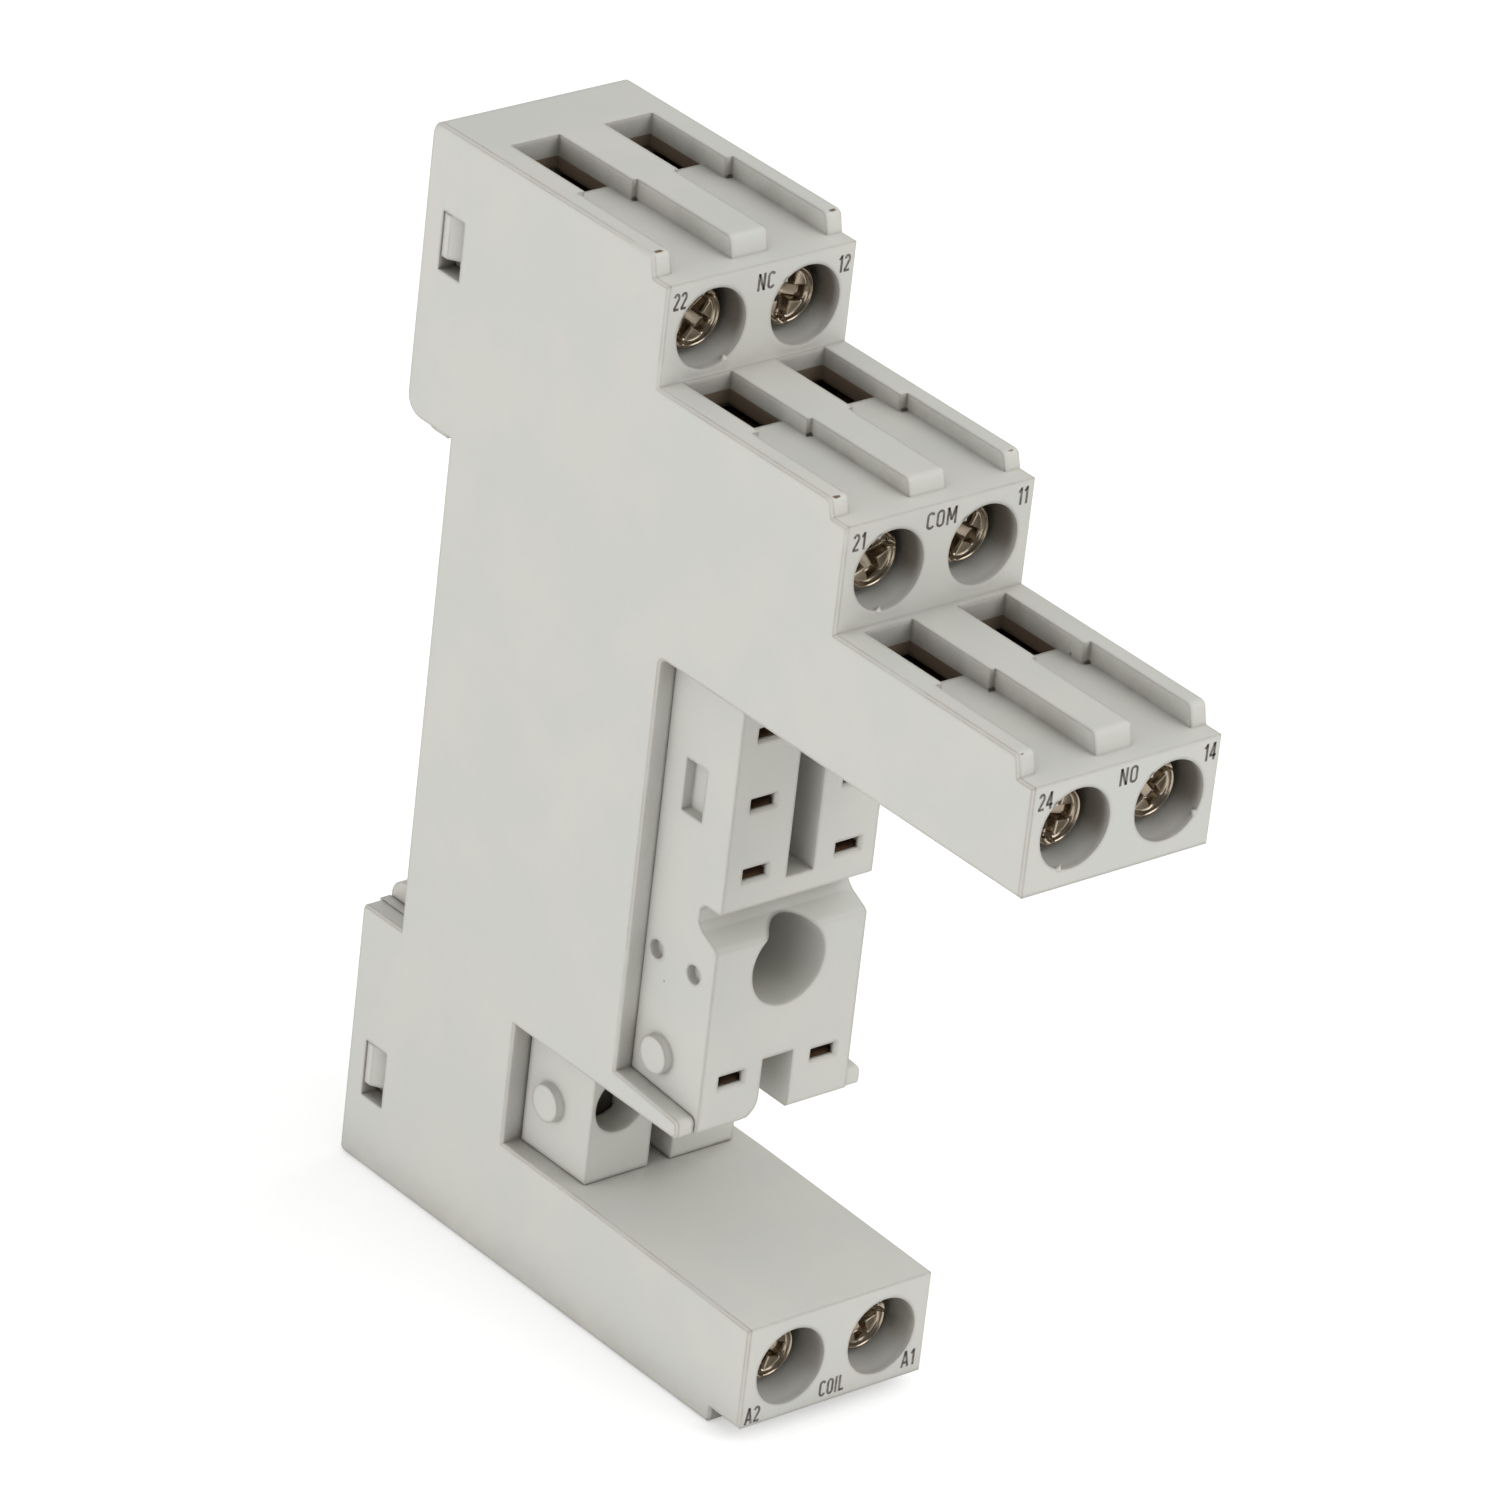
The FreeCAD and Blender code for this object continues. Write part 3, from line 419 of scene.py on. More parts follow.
    def _bore(self) -> None:
        """Masks of a round bore that runs along +Y from a front face, for painted shade: its sides, and the
        bed below.
        """
        wires, ins, outs = self._group("bore_walls", {"X": 0.0, "Z": 0.0, "Front": 0.0, "Radius": 0.0029,
                                                      "Depth": 0.009}, ("Sides", "Bed"))
        place = wires.parts()
        across = wires.math("SUBTRACT", place["X"], ins["X"])
        down = wires.math("SUBTRACT", ins["Z"], place["Z"])
        far = wires.math("SQRT", wires.math("ADD", wires.times(across, across), wires.times(down, down)))
        deep = wires.math("SUBTRACT", place["Y"], ins["Front"])
        entered = wires.times(wires.ramp(deep, *self.bore_fade), wires.math("LESS_THAN", deep, ins["Depth"]))
        inside = wires.times(entered, wires.math("LESS_THAN", far, ins["Radius"]))
        bed = wires.ramp(wires.math("DIVIDE", down, ins["Radius"]), *self.bed_span)
        wires.join(wires.times(inside, bed), outs["Bed"])
        wires.join(wires.times(inside, wires.flip(bed)), outs["Sides"])

    def _specks(self) -> None:
        """Masks of rare dark specks and faint long scuffs."""
        wires, ins, outs = self._group("specks_and_scuffs", {"Spacing": 420.0}, ("Specks", "Scuffs"))
        place = wires.place()
        cells = wires.node("ShaderNodeTexVoronoi", feature="F1")
        wires.join(place, cells.inputs["Vector"])
        wires.join(ins["Spacing"], cells.inputs["Scale"])
        spot = wires.math("LESS_THAN", cells.outputs["Distance"], self.speck_radius)
        picked = wires.node("ShaderNodeSeparateColor")
        wires.join(cells.outputs["Color"], picked.inputs["Color"])
        rare = wires.math("GREATER_THAN", picked.outputs["Red"], self.speck_rarity)
        wires.join(wires.times(spot, rare), outs["Specks"])
        drawn = wires.node("ShaderNodeMapping")
        drawn.inputs["Rotation"].default_value = self.scuff_turn
        drawn.inputs["Scale"].default_value = self.scuff_draw
        wires.join(place, drawn.inputs["Vector"])
        streak = wires.noise(drawn.outputs["Vector"], self.scuff_scale, rough=0.55)
        wires.join(wires.ramp(streak, *self.scuff_span), outs["Scuffs"])


@dataclass(frozen=True)
class Finish:
    """Common part of every finish: its name, its smoothest and cloudiest gloss, and its grain."""

    name: str
    smoothest: float = 0.45
    cloud: float = 0.2
    grain_scale: float = 9000.0
    mottle_scale: float = 2600.0
    grain_depth: float = 0.000003
    metallic: float = 0.0

    def start(self) -> tuple[Material, Wiring, Node, Sockets]:
        """Make the material with its Principled shader.

        Returns:
            The material, its wiring, its Principled node and the outputs of its grain.
        """
        made = bpy.data.materials.new(self.name)
        made.use_nodes = True
        wires = Wiring(made.node_tree)
        grain = wires.group("fine_grain", Scale=self.grain_scale, Mottle_Scale=self.mottle_scale)
        return made, wires, made.node_tree.nodes["Principled BSDF"], grain

    def surface(self, wires: Wiring, shader: Node, grain: Sockets, colour: Socket,
                rounded: Socket | None = None, smoother: Socket | None = None) -> None:
        """Feed the shader's colour, roughness and normal.

        Args:
            wires: The material's wiring.
            shader: The Principled node.
            grain: The outputs of the grain.
            colour: The colour socket.
            rounded: A normal that already rounds the edges, if any.
            smoother: What is taken off the roughness, if anything.
        """
        shader.inputs["Metallic"].default_value = self.metallic
        wires.join(colour, shader.inputs["Base Color"])
        rough = wires.slope(grain["Mottle"], self.cloud, self.smoothest)
        if smoother is not None:
            rough = wires.math("SUBTRACT", rough, smoother)
        wires.join(rough, shader.inputs["Roughness"])
        bump = wires.node("ShaderNodeBump")
        bump.inputs["Distance"].default_value = self.grain_depth
        bump.inputs["Strength"].default_value = 1.0
        wires.join(grain["Relief"], bump.inputs["Height"])
        if rounded is not None:
            wires.join(rounded, bump.inputs["Normal"])
        wires.join(bump.outputs["Normal"], shader.inputs["Normal"])


@dataclass(frozen=True)
class MouldedPlastic(Finish):
    """Matt technical plastic with spark-eroded grain, tan worn edges with a cream painted highlight, and
    painted shade in its corners, bores and ducts.

    Ducts are given as front, rear, mouth and inner end, stains and shades as place and size, and bores as X,
    Z, front, radius and amount, all in millimetres.
    """

    smoothest: float = 0.42
    cloud: float = 0.1
    grain_scale: float = 7500.0
    mottle_scale: float = 140.0
    grain_depth: float = 0.000006
    tone: Color = (0.655, 0.658, 0.615)
    warm_tone: Color = (0.685, 0.675, 0.62)
    mottle_span: Span = (0.3, 0.75)
    # Cream painted highlight along the edges, and tan wear on them
    edge_highlight_tone: Color = (0.76, 0.7, 0.58)
    tan_tone: Color = (0.4, 0.31, 0.22)
    tan_scale: float = 190.0
    tan_span: Span = (0.3, 0.5)
    tan_side: float = -7.3
    tan_elsewhere: float = 0.15
    edge_amount: float = 0.85
    edge_width: float = 0.0002
    rounding: float = 0.00045
    breakup: float = 0.45
    reach: float = 0.006
    # Painted shade in corners and hollows, and at the steps: its tone and strength
    shade_tone: Color = (0.13, 0.11, 0.08)
    hollow_shade_amount: float = 0.88
    # Painted shade on the sides of the bores, and how much lighter their beds are kept, as if lit from above
    bore_shade_tone: Color = (0.19, 0.16, 0.125)
    bed_lighter: float = 0.85
    # Painted shade on the walls of the wire ducts
    duct_shade_tone: Color = (0.185, 0.14, 0.1)
    speck_tone: Color = (0.12, 0.09, 0.06)
    speck_spacing: float = 330.0
    speck_amount: float = 0.7
    scuff_gloss: float = 0.1
    stain_tone: Color = (0.17, 0.105, 0.06)
    spot_stretch: float = 2.6
    ducts: Spots = ()
    stains: Spots = ()
    shades: Spots = ()
    bores: Spots = ()

    def _lay_shade(self, wires: Wiring, clean: Socket, shade_mask: Socket) -> Socket:
        """Paint shade on the sides of the bores, and painted shade in the corners, of which the bores' beds
        keep less as if lit from above.

        Args:
            wires: The material's wiring.
            clean: The plastic's colour.
            shade_mask: Mask of the painted shade in corners and hollows.

        Returns:
            The colour socket.
        """
        for *spot, amount in self.bores:
            bore = wires.group("bore_walls", **metres("X Z Front Radius", spot))
            clean = wires.blend(wires.times(bore["Sides"], amount), clean, self.bore_shade_tone)
            shade_mask = wires.times(shade_mask, wires.flip(wires.times(bore["Bed"], self.bed_lighter)))
        return wires.blend(shade_mask, clean, self.shade_tone)

    def _edges(self, wires: Wiring) -> Socket:
        """Colour the edges with a cream painted highlight, with tan wear patches that are dense on the left
        side.

        Args:
            wires: The material's wiring.

        Returns:
            The colour socket.
        """
        outer = wires.math("LESS_THAN", wires.parts()["X"], self.tan_side * MM)
        patches = wires.ramp(wires.noise(wires.place(), self.tan_scale, rough=0.6), *self.tan_span)
        tanned = wires.times(patches, wires.slope(outer, 1.0 - self.tan_elsewhere, self.tan_elsewhere))
        return wires.blend(tanned, self.edge_highlight_tone, self.tan_tone)

    def _spots(self, wires: Wiring, colour: Socket) -> Socket:
        """Lay the stains, the painted shadows at the steps and the painted shade on the walls of the ducts.

        Args:
            wires: The material's wiring.
            colour: The colour so far.

        Returns:
            The colour socket.
        """
        # Real stains, then painted shadows at the steps
        for spots, tone in ((self.stains, self.stain_tone), (self.shades, self.shade_tone)):
            for spot in spots:
                ragged_spot = wires.group("ragged_spot", **metres("X Y Z Size", spot), Stretch=self.spot_stretch)
                colour = wires.blend(ragged_spot["Mask"], colour, tone)
        for spot in self.ducts:
            duct = wires.group("duct_walls", **metres("Front Rear Mouth Inner", spot))
            colour = wires.blend(duct["Mask"], colour, self.duct_shade_tone)
        return colour

    def build(self) -> Material:
        """Make the material.

        Returns:
            The finished material.
        """
        made, wires, shader, grain = self.start()
        edges_and_shade = wires.group("edges_and_shade", Edge_Width=self.edge_width, Rounding=self.rounding, Breakup=self.breakup,
                           Reach=self.reach)
        marks = wires.group("specks_and_scuffs", Spacing=self.speck_spacing)
        clean = wires.blend(wires.ramp(grain["Mottle"], *self.mottle_span), self.tone, self.warm_tone)
        # Painted shade in the bores, corners and hollows
        with_painted_shade = self._lay_shade(wires, clean, wires.times(edges_and_shade["Hollow_Shade"], self.hollow_shade_amount))
        # Edges: tan wear and a cream painted highlight
        worn_and_highlit = wires.blend(wires.times(edges_and_shade["Edge"], self.edge_amount), with_painted_shade, self._edges(wires))
        specked = wires.blend(wires.times(marks["Specks"], self.speck_amount), worn_and_highlit, self.speck_tone)
        self.surface(wires, shader, grain, self._spots(wires, specked), edges_and_shade["Normal"],
                     wires.times(marks["Scuffs"], self.scuff_gloss))
        return made


@dataclass(frozen=True)
class PlatedSteel(Finish):
    """Nickel or zinc plating, with a darker film in its recesses that is partly painted shade."""

    smoothest: float = 0.09
    cloud: float = 0.22
    grain_scale: float = 5200.0
    mottle_scale: float = 900.0
    grain_depth: float = 0.000004
    metallic: float = 1.0
    tone: Color = (0.44, 0.37, 0.285)
    # Darker film in the recesses, partly painted shade
    film_and_shade_tone: Color = (0.075, 0.045, 0.026)
    reach: float = 0.002

    def build(self) -> Material:
        """Make the material.

        Returns:
            The finished material.
        """
        made, wires, shader, grain = self.start()
        edges_and_shade = wires.group("edges_and_shade", Reach=self.reach)
        self.surface(wires, shader, grain, wires.blend(edges_and_shade["Hollow_Shade"], self.tone, self.film_and_shade_tone))
        return made


@dataclass(frozen=True)
class CopperAlloy(Finish):
    """Bare contact alloy with a brown bloom, dark grey below a set height, and painted shade in its deep
    corners.
    """

    smoothest: float = 0.2
    cloud: float = 0.3
    grain_scale: float = 6400.0
    mottle_scale: float = 520.0
    metallic: float = 0.7
    tone: Color = (0.66, 0.4, 0.24)
    bloom_tone: Color = (0.26, 0.13, 0.07)
    bloom_span: Span = (0.35, 0.7)
    # Painted shade in the deep corners
    deep_shade_tone: Color = (0.035, 0.024, 0.018)
    # Dark grey below a set height, given in millimetres
    dark_grey_tone: Color = (0.095, 0.09, 0.08)
    dark_grey_below: float = 17.5
    reach: float = 0.0035

    def build(self) -> Material:
        """Make the material.

        Returns:
            The finished material.
        """
        made, wires, shader, grain = self.start()
        edges_and_shade = wires.group("edges_and_shade", Reach=self.reach)
        bare = wires.blend(wires.ramp(grain["Mottle"], *self.bloom_span), self.tone, self.bloom_tone)
        # Dark grey below a set height
        low = wires.math("LESS_THAN", wires.parts()["Z"], self.dark_grey_below * MM)
        greyed = wires.blend(low, bare, self.dark_grey_tone)
        self.surface(wires, shader, grain, wires.blend(edges_and_shade["Hollow_Shade"], greyed, self.deep_shade_tone))
        return made


@dataclass(frozen=True)
class PrintedInk(Finish):
    """Thin dark pad print with a slightly uneven cover."""

    tone: Color = (0.105, 0.09, 0.08)
    thin_tone: Color = (0.25, 0.225, 0.2)
    patch_span: Span = (0.42, 0.72)

    def build(self) -> Material:
        """Make the material.

        Returns:
            The finished material.
        """
        made, wires, shader, grain = self.start()
        patchy = wires.ramp(grain["Mottle"], *self.patch_span)
        self.surface(wires, shader, grain, wires.blend(patchy, self.tone, self.thin_tone))
        return made


def mesh_piece(name: str, points: Points, faces: Faces, material: Material, body: str) -> bpy.types.Object:
    """Make a smooth-shaded mesh piece that rides on a body.

    Args:
        name: The piece's name.
        points: Vertices in metres.
        faces: Corner numbers of each face.
        material: Its finish.
        body: The CAD body it moves with.

    Returns:
        The piece.
    """
    mesh = bpy.data.meshes.new(name)
    mesh.from_pydata(points, [], faces)
    mesh.validate()
    mesh.materials.append(material)
    mesh.shade_smooth()
    piece = bpy.data.objects.new(name, mesh)
    bpy.context.scene.collection.objects.link(piece)
    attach(piece, body)
    return piece


@dataclass
class TerminalScrews:
    """Eight captive screws: a head with a combined recess and four raised lobes, and a threaded shank."""

    head_radius: float = 2.2
    head_long: float = 2.0
    rim_round: float = 0.35
    shank_radius: float = 1.5
    shank_long: float = 10.0
    thread_pitch: float = 0.5
    thread_deep: float = 0.14
    groove_half: float = 0.46
    groove_reach: float = 1.62
    slot_half: float = 0.3
    recess_deep: float = 1.0
    slot_deep: float = 0.5
    dish_reach: float = 1.82
    dish_deep: float = 0.34
    spokes: int = 112
    groove_rim: Span = (-0.1, 0.08)
    groove_end: float = 0.22
    groove_taper: float = 0.45
    slot_rim: float = 0.06
    dish_rim: float = 0.18
    top_below: float = 0.04
    top_share: float = 0.86
    top_rings: int = 26
    rim_below: float = 0.12
    rim_angles: tuple[float, ...] = (15, 35, 55, 75, 90)
    head_bevel: float = 0.1
    neck: float = 0.06
    thread_steps: int = 8
    thread_from: float = 0.4
    tip_long: float = 0.6
    tip_narrow: float = 0.35
    # Depth of each head behind its face in the CAD, how much nearer it stands here, and its turn in degrees
    heads: dict[str, tuple[float, float, float]] = field(default_factory=lambda: {
        "22": (1.8, 0.3, 38), "12": (1.8, 0.3, 12), "21": (2.2, 0.6, 64), "11": (2.2, 0.5, 30),
        "24": (3.0, 1.3, 8), "14": (3.0, 1.3, 52), "a2": (2.2, 0.1, 20), "a1": (2.2, 0.25, 71)})

    @staticmethod
    def _step(value: float, low: float, high: float) -> float:
        """Smooth step from 0 at low to 1 at high."""
        t = min(max((value - low) / (high - low), 0.0), 1.0)
        return t * t * (3.0 - 2.0 * t)

    def _sunk(self, radius: float, angle: float) -> float:
        """Depth of the head's top below its front plane.

        Args:
            radius: Distance from the axis in millimetres.
            angle: Angle about the axis in radians.

        Returns:
            The depth in millimetres.
        """
        across, along = radius * math.cos(angle), radius * math.sin(angle)
        near = min(abs(across), abs(along))
        walls = 1.0 - self._step(near, *(self.groove_half + part for part in self.groove_rim))
        reach = 1.0 - self._step(radius, self.groove_reach - self.groove_end, self.groove_reach)
        taper = 1.0 - self.groove_taper * min(radius / self.groove_reach, 1.0)
        cross = walls * reach * taper * self.recess_deep
        slot = 1.0 - self._step(abs(across), self.slot_half - self.slot_rim, self.slot_half + self.slot_rim)
        dish = self.dish_deep * (1.0 - self._step(radius, self.dish_reach - self.dish_rim, self.dish_reach))
        return max(cross, slot * self.slot_deep) + dish + self.top_below

    def _rings(self) -> list[tuple[float, float, bool]]:
        """Rings of the surface from the head's middle to the shank's tip.

        Returns:
            Each ring as radius, depth and whether the recess shapes it.
        """
        top = [(self.head_radius * self.top_share * i / self.top_rings, 0.0, True)
               for i in range(1, self.top_rings + 1)]
        edge = self.head_radius - self.rim_round
        rim = [(edge + self.rim_round * math.sin(a),
                self.rim_below + self.rim_round * (1 - math.cos(a)), False)
               for a in map(math.radians, self.rim_angles)]
        rings = top + rim + [(self.head_radius, self.head_long - self.head_bevel, False),
                             (self.head_radius - self.head_bevel, self.head_long, False),
                             (self.shank_radius + self.neck, self.head_long, False)]
        steps = int(self.shank_long / self.thread_pitch * self.thread_steps)
        rings += [(self.shank_radius, self.head_long + self.shank_long * i / steps, False)
                  for i in range(1, steps + 1)]
        return rings

    def _make(self, name: str, face: Face, side: Side, material: Material) -> None:
        """Build one screw in its bore.

        Args:
            name: The terminal.
            face: The tier's front face.
            side: Its column.
            material: The plating.
        """
        below, crown, degrees = self.heads[name]
        turn = math.radians(degrees)
        middle = Vector((side.value * COLUMN, face.y + below, face.axis))
        points: Points = [(middle + Vector((0, self._sunk(0.0, 0.0) - crown, 0))) * MM]
        for radius, depth, shaped in self._rings():
            for i in range(self.spokes):
                angle = 2 * math.pi * i / self.spokes
                far, deep = radius, depth
                if shaped:
                    deep = self._sunk(radius, angle) - crown
                elif depth < self.head_long - 2 * self.head_bevel:
                    deep = depth - crown
                elif depth > self.head_long + self.thread_from:
                    wave = math.cos(angle - 2 * math.pi * depth / self.thread_pitch)
                    tip = self._step(self.head_long + self.shank_long - depth, 0.0, self.tip_long)
                    far = radius - self.thread_deep * (1 - wave) - self.tip_narrow * (1 - tip)
                spot = Vector((far * math.cos(angle - turn), deep, far * math.sin(angle - turn)))
                points.append((middle + spot) * MM)
        faces: Faces = [(0, 1 + (i + 1) % self.spokes, 1 + i) for i in range(self.spokes)]
        count = (len(points) - 1) // self.spokes
        for ring in range(count - 1):
            base = 1 + ring * self.spokes
            for i in range(self.spokes):
                j = (i + 1) % self.spokes
                faces.append((base + i, base + j, base + self.spokes + j, base + self.spokes + i))
        last = 1 + (count - 1) * self.spokes
        faces.append(tuple(last + i for i in range(self.spokes)))
        piece = mesh_piece("turned_screw_" + name, points, faces, material, "screw_" + name)
        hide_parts("screw_" + name)

    def build(self, material: Material) -> None:
        """Build all the screws.

        Args:
            material: The plating.
        """
        for face in FACES:
            for side, name in zip(Side, face.terminals):
                self._make(name, face, side, material)
        LOG.info("terminal screws: %d", len(self.heads))


@dataclass(frozen=True)
class Mark:
    """One printed word: its text, its middle on the face and its size in millimetres."""

    text: str
    x: float
    z: float
    wide: float


class Alphabet:
    """Letters of a narrow technical type, drawn as strokes in a cell one unit high."""

    ARC_STEPS = 14

    @classmethod
    def arc(cls, x: float, y: float, rx: float, ry: float, start: float, end: float) -> Stroke:
        """Points of an elliptical arc, with its angles in degrees."""
        angles = [math.radians(start + (end - start) * i / cls.ARC_STEPS) for i in range(cls.ARC_STEPS + 1)]
        return [(x + rx * math.cos(a), y + ry * math.sin(a)) for a in angles]

    @classmethod
    def letter(cls, sign: str) -> tuple[float, list[Stroke]]:
        """Width and strokes of a letter.

        Args:
            sign: The letter or digit.

        Returns:
            Its width, and its strokes as lists of points.
        """
        upper, lower, tall = (0.25, 0.74, 0.18, 0.19), (0.25, 0.26, 0.18, 0.19), (0.0, 1.0)
        full = cls.arc(*upper, 0, 180) + cls.arc(*lower, 180, 360)

        def stem(x: float) -> Stroke:
            """An upright of full height."""
            return [(x, y) for y in tall]

        return {
            "1": (0.34, [[(0.04, 0.74), (0.22, 0.93)], stem(0.23)]),
            "2": (0.5, [cls.arc(0.24, 0.72, 0.18, 0.21, 170, -25) + [(0.06, 0.1)],
                        [(0.0, 0.07), (0.46, 0.07)]]),
            "4": (0.52, [stem(0.36), [(0.34, 0.97), (0.05, 0.3)], [(0.0, 0.27), (0.52, 0.27)]]),
            "A": (0.56, [[(0.05, 0.0), (0.27, 1.0)], [(0.29, 1.0), (0.51, 0.0)],
                         [(0.13, 0.28), (0.43, 0.28)]]),
            "C": (0.48, [cls.arc(*upper, 20, 180) + cls.arc(*lower, 180, 340)]),
            "I": (0.16, [stem(0.08)]),
            "L": (0.42, [stem(0.08), [(0.08, 0.07), (0.42, 0.07)]]),
            "M": (0.64, [stem(0.08), [(0.1, 0.98), (0.32, 0.25)], [(0.32, 0.25), (0.54, 0.98)], stem(0.56)]),
            "N": (0.52, [stem(0.08), [(0.09, 0.98), (0.43, 0.02)], stem(0.44)]),
            "O": (0.5, [full + full[:1]]),
        }[sign]


@dataclass
class TerminalMarks:
    """Narrow bold print on the four front faces."""

    tall: float = 1.2
    line: float = 0.172
    film: float = 0.012
    gap: float = 0.13
    marks: dict[Tier, tuple[Mark, ...]] = field(default_factory=lambda: {
        Tier.NORMALLY_CLOSED: (Mark("22", -6.48, 72.09, 1.04), Mark("NC", 0.34, 72.04, 1.37),
                               Mark("12", 6.62, 71.93, 0.92)),
        Tier.COMMON: (Mark("21", -6.42, 64.03, 0.98), Mark("COM", 0.09, 64.16, 2.42),
                      Mark("11", 6.6, 64.2, 0.8)),
        Tier.NORMALLY_OPEN: (Mark("24", -6.42, 55.36, 1.12), Mark("NO", 0.13, 55.48, 1.44),
                             Mark("14", 6.65, 55.47, 0.96)),
        Tier.COIL: (Mark("A2", -6.47, 1.88, 1.2), Mark("COIL", -0.01, 2.13, 2.03),
                    Mark("A1", 6.33, 2.29, 1.1)),
    })

    def _ribbon(self, stroke: Stroke, points: Points, faces: Faces, y: float) -> None:
        """Add one stroke as a flat strip.

        Args:
            stroke: Its points on the face in millimetres.
            points: The vertices so far.
            faces: The faces so far.
            y: The strip's place in millimetres.
        """
        first = len(points)
        for i, (x, z) in enumerate(stroke):
            before, after = stroke[max(i - 1, 0)], stroke[min(i + 1, len(stroke) - 1)]
            if i == 0 and stroke[0] == stroke[-1]:
                before = stroke[-2]
            if i == len(stroke) - 1 and stroke[0] == stroke[-1]:
                after = stroke[1]
            way = Vector((after[0] - before[0], after[1] - before[1])).normalized()
            for side in (1, -1):
                half = side * self.line / 2
                points.append(Vector((x - way.y * half, y, z + way.x * half)) * MM)
        for i in range(len(stroke) - 1):
            a = first + 2 * i
            faces.append((a, a + 1, a + 3, a + 2))

    def _print(self, mark: Mark, y: float, name: str, ink: Material) -> None:
        """Set one word as a flat mesh on its face.

        Args:
            mark: The word.
            y: The face's place in millimetres.
            name: The piece's name.
            ink: The ink.
        """
        letters = [Alphabet.letter(sign) for sign in mark.text]
        total = sum(wide for wide, _ in letters) + self.gap * (len(letters) - 1)
        grow, start = mark.wide / total, 0.0
        points: Points = []
        faces: Faces = []
        for wide, strokes in letters:
            for stroke in strokes:
                placed = [(mark.x + (start + x - total / 2) * grow, mark.z + (z - 0.5) * self.tall)
                          for x, z in stroke]
                self._ribbon(placed, points, faces, y - self.film)
            start += wide + self.gap
        piece = mesh_piece(name, points, faces, ink, "socket")

    def build(self, ink: Material) -> None:
        """Print every mark.

        Args:
            ink: The ink.
        """
        for face in FACES:
            for i, mark in enumerate(self.marks[face.tier]):
                self._print(mark, face.y, "mark_%s_%d" % (face.tier.value, i), ink)
        LOG.info("printed marks: %d", sum(len(m) for m in self.marks.values()))


@dataclass
class MouldTraces:
    """Small nicks that the mould leaves on the rims of the bores."""

    nick_long: float = 0.55
    nick_rise: float = 0.3
    nick_deep: float = 0.34
    stand_out: float = 0.06
    rooted: float = 0.08
    ragged: Span = (0.35, 9.0)
    steps: int = 8
    rows: int = 4
    places: dict[str, tuple[float, ...]] = field(default_factory=lambda: {
        "21": (262.0, 112.0), "11": (128.0,), "24": (252.0, 130.0), "14": (-32.0, 128.0), "22": (300.0,),
        "12": (130.0,)})

    def _nick(self, name: str, middle: Vector, angle: float, material: Material) -> None:
        """Build one nick as a small torn fin on the rim.

        Args:
            name: The piece's name.
            middle: The bore's middle on its face, in millimetres.
            angle: Where on the rim, in degrees from +X towards +Z.
            material: The plastic.
        """
        points: Points = []
        faces: Faces = []
        torn, waves = self.ragged
        for i in range(self.steps + 1):
            t = i / self.steps - 0.5
            turn = math.radians(angle) + t * self.nick_long / BORE_RADIUS
            rise = self.nick_rise * math.cos(math.pi * t) ** 2 * (1.0 + torn * math.sin(waves * t))
            for row in range(self.rows + 1):
                u = row / self.rows
                radius = BORE_RADIUS + self.rooted - (rise + self.rooted) * math.sin(math.pi * u)
                depth = -self.stand_out * math.cos(math.pi * t) + self.nick_deep * u
                spot = Vector((radius * math.cos(turn), depth, radius * math.sin(turn)))
                points.append((middle + spot) * MM)
        for i in range(self.steps):
            for row in range(self.rows):
                a = i * (self.rows + 1) + row
                faces.append((a, a + 1, a + self.rows + 2, a + self.rows + 1))
        piece = mesh_piece(name, points, faces, material, "socket")

    def build(self, material: Material) -> None:
        """Build the nicks.

        Args:
            material: The plastic.
        """
        made = 0
        for face in FACES:
            for side, name in zip(Side, face.terminals):
                middle = Vector((side.value * COLUMN, face.y, face.axis))
                for i, angle in enumerate(self.places.get(name, ())):
                    self._nick("nick_%s_%d" % (name, i), middle, angle, material)
                    made += 1
        LOG.info("mould nicks: %d", made)


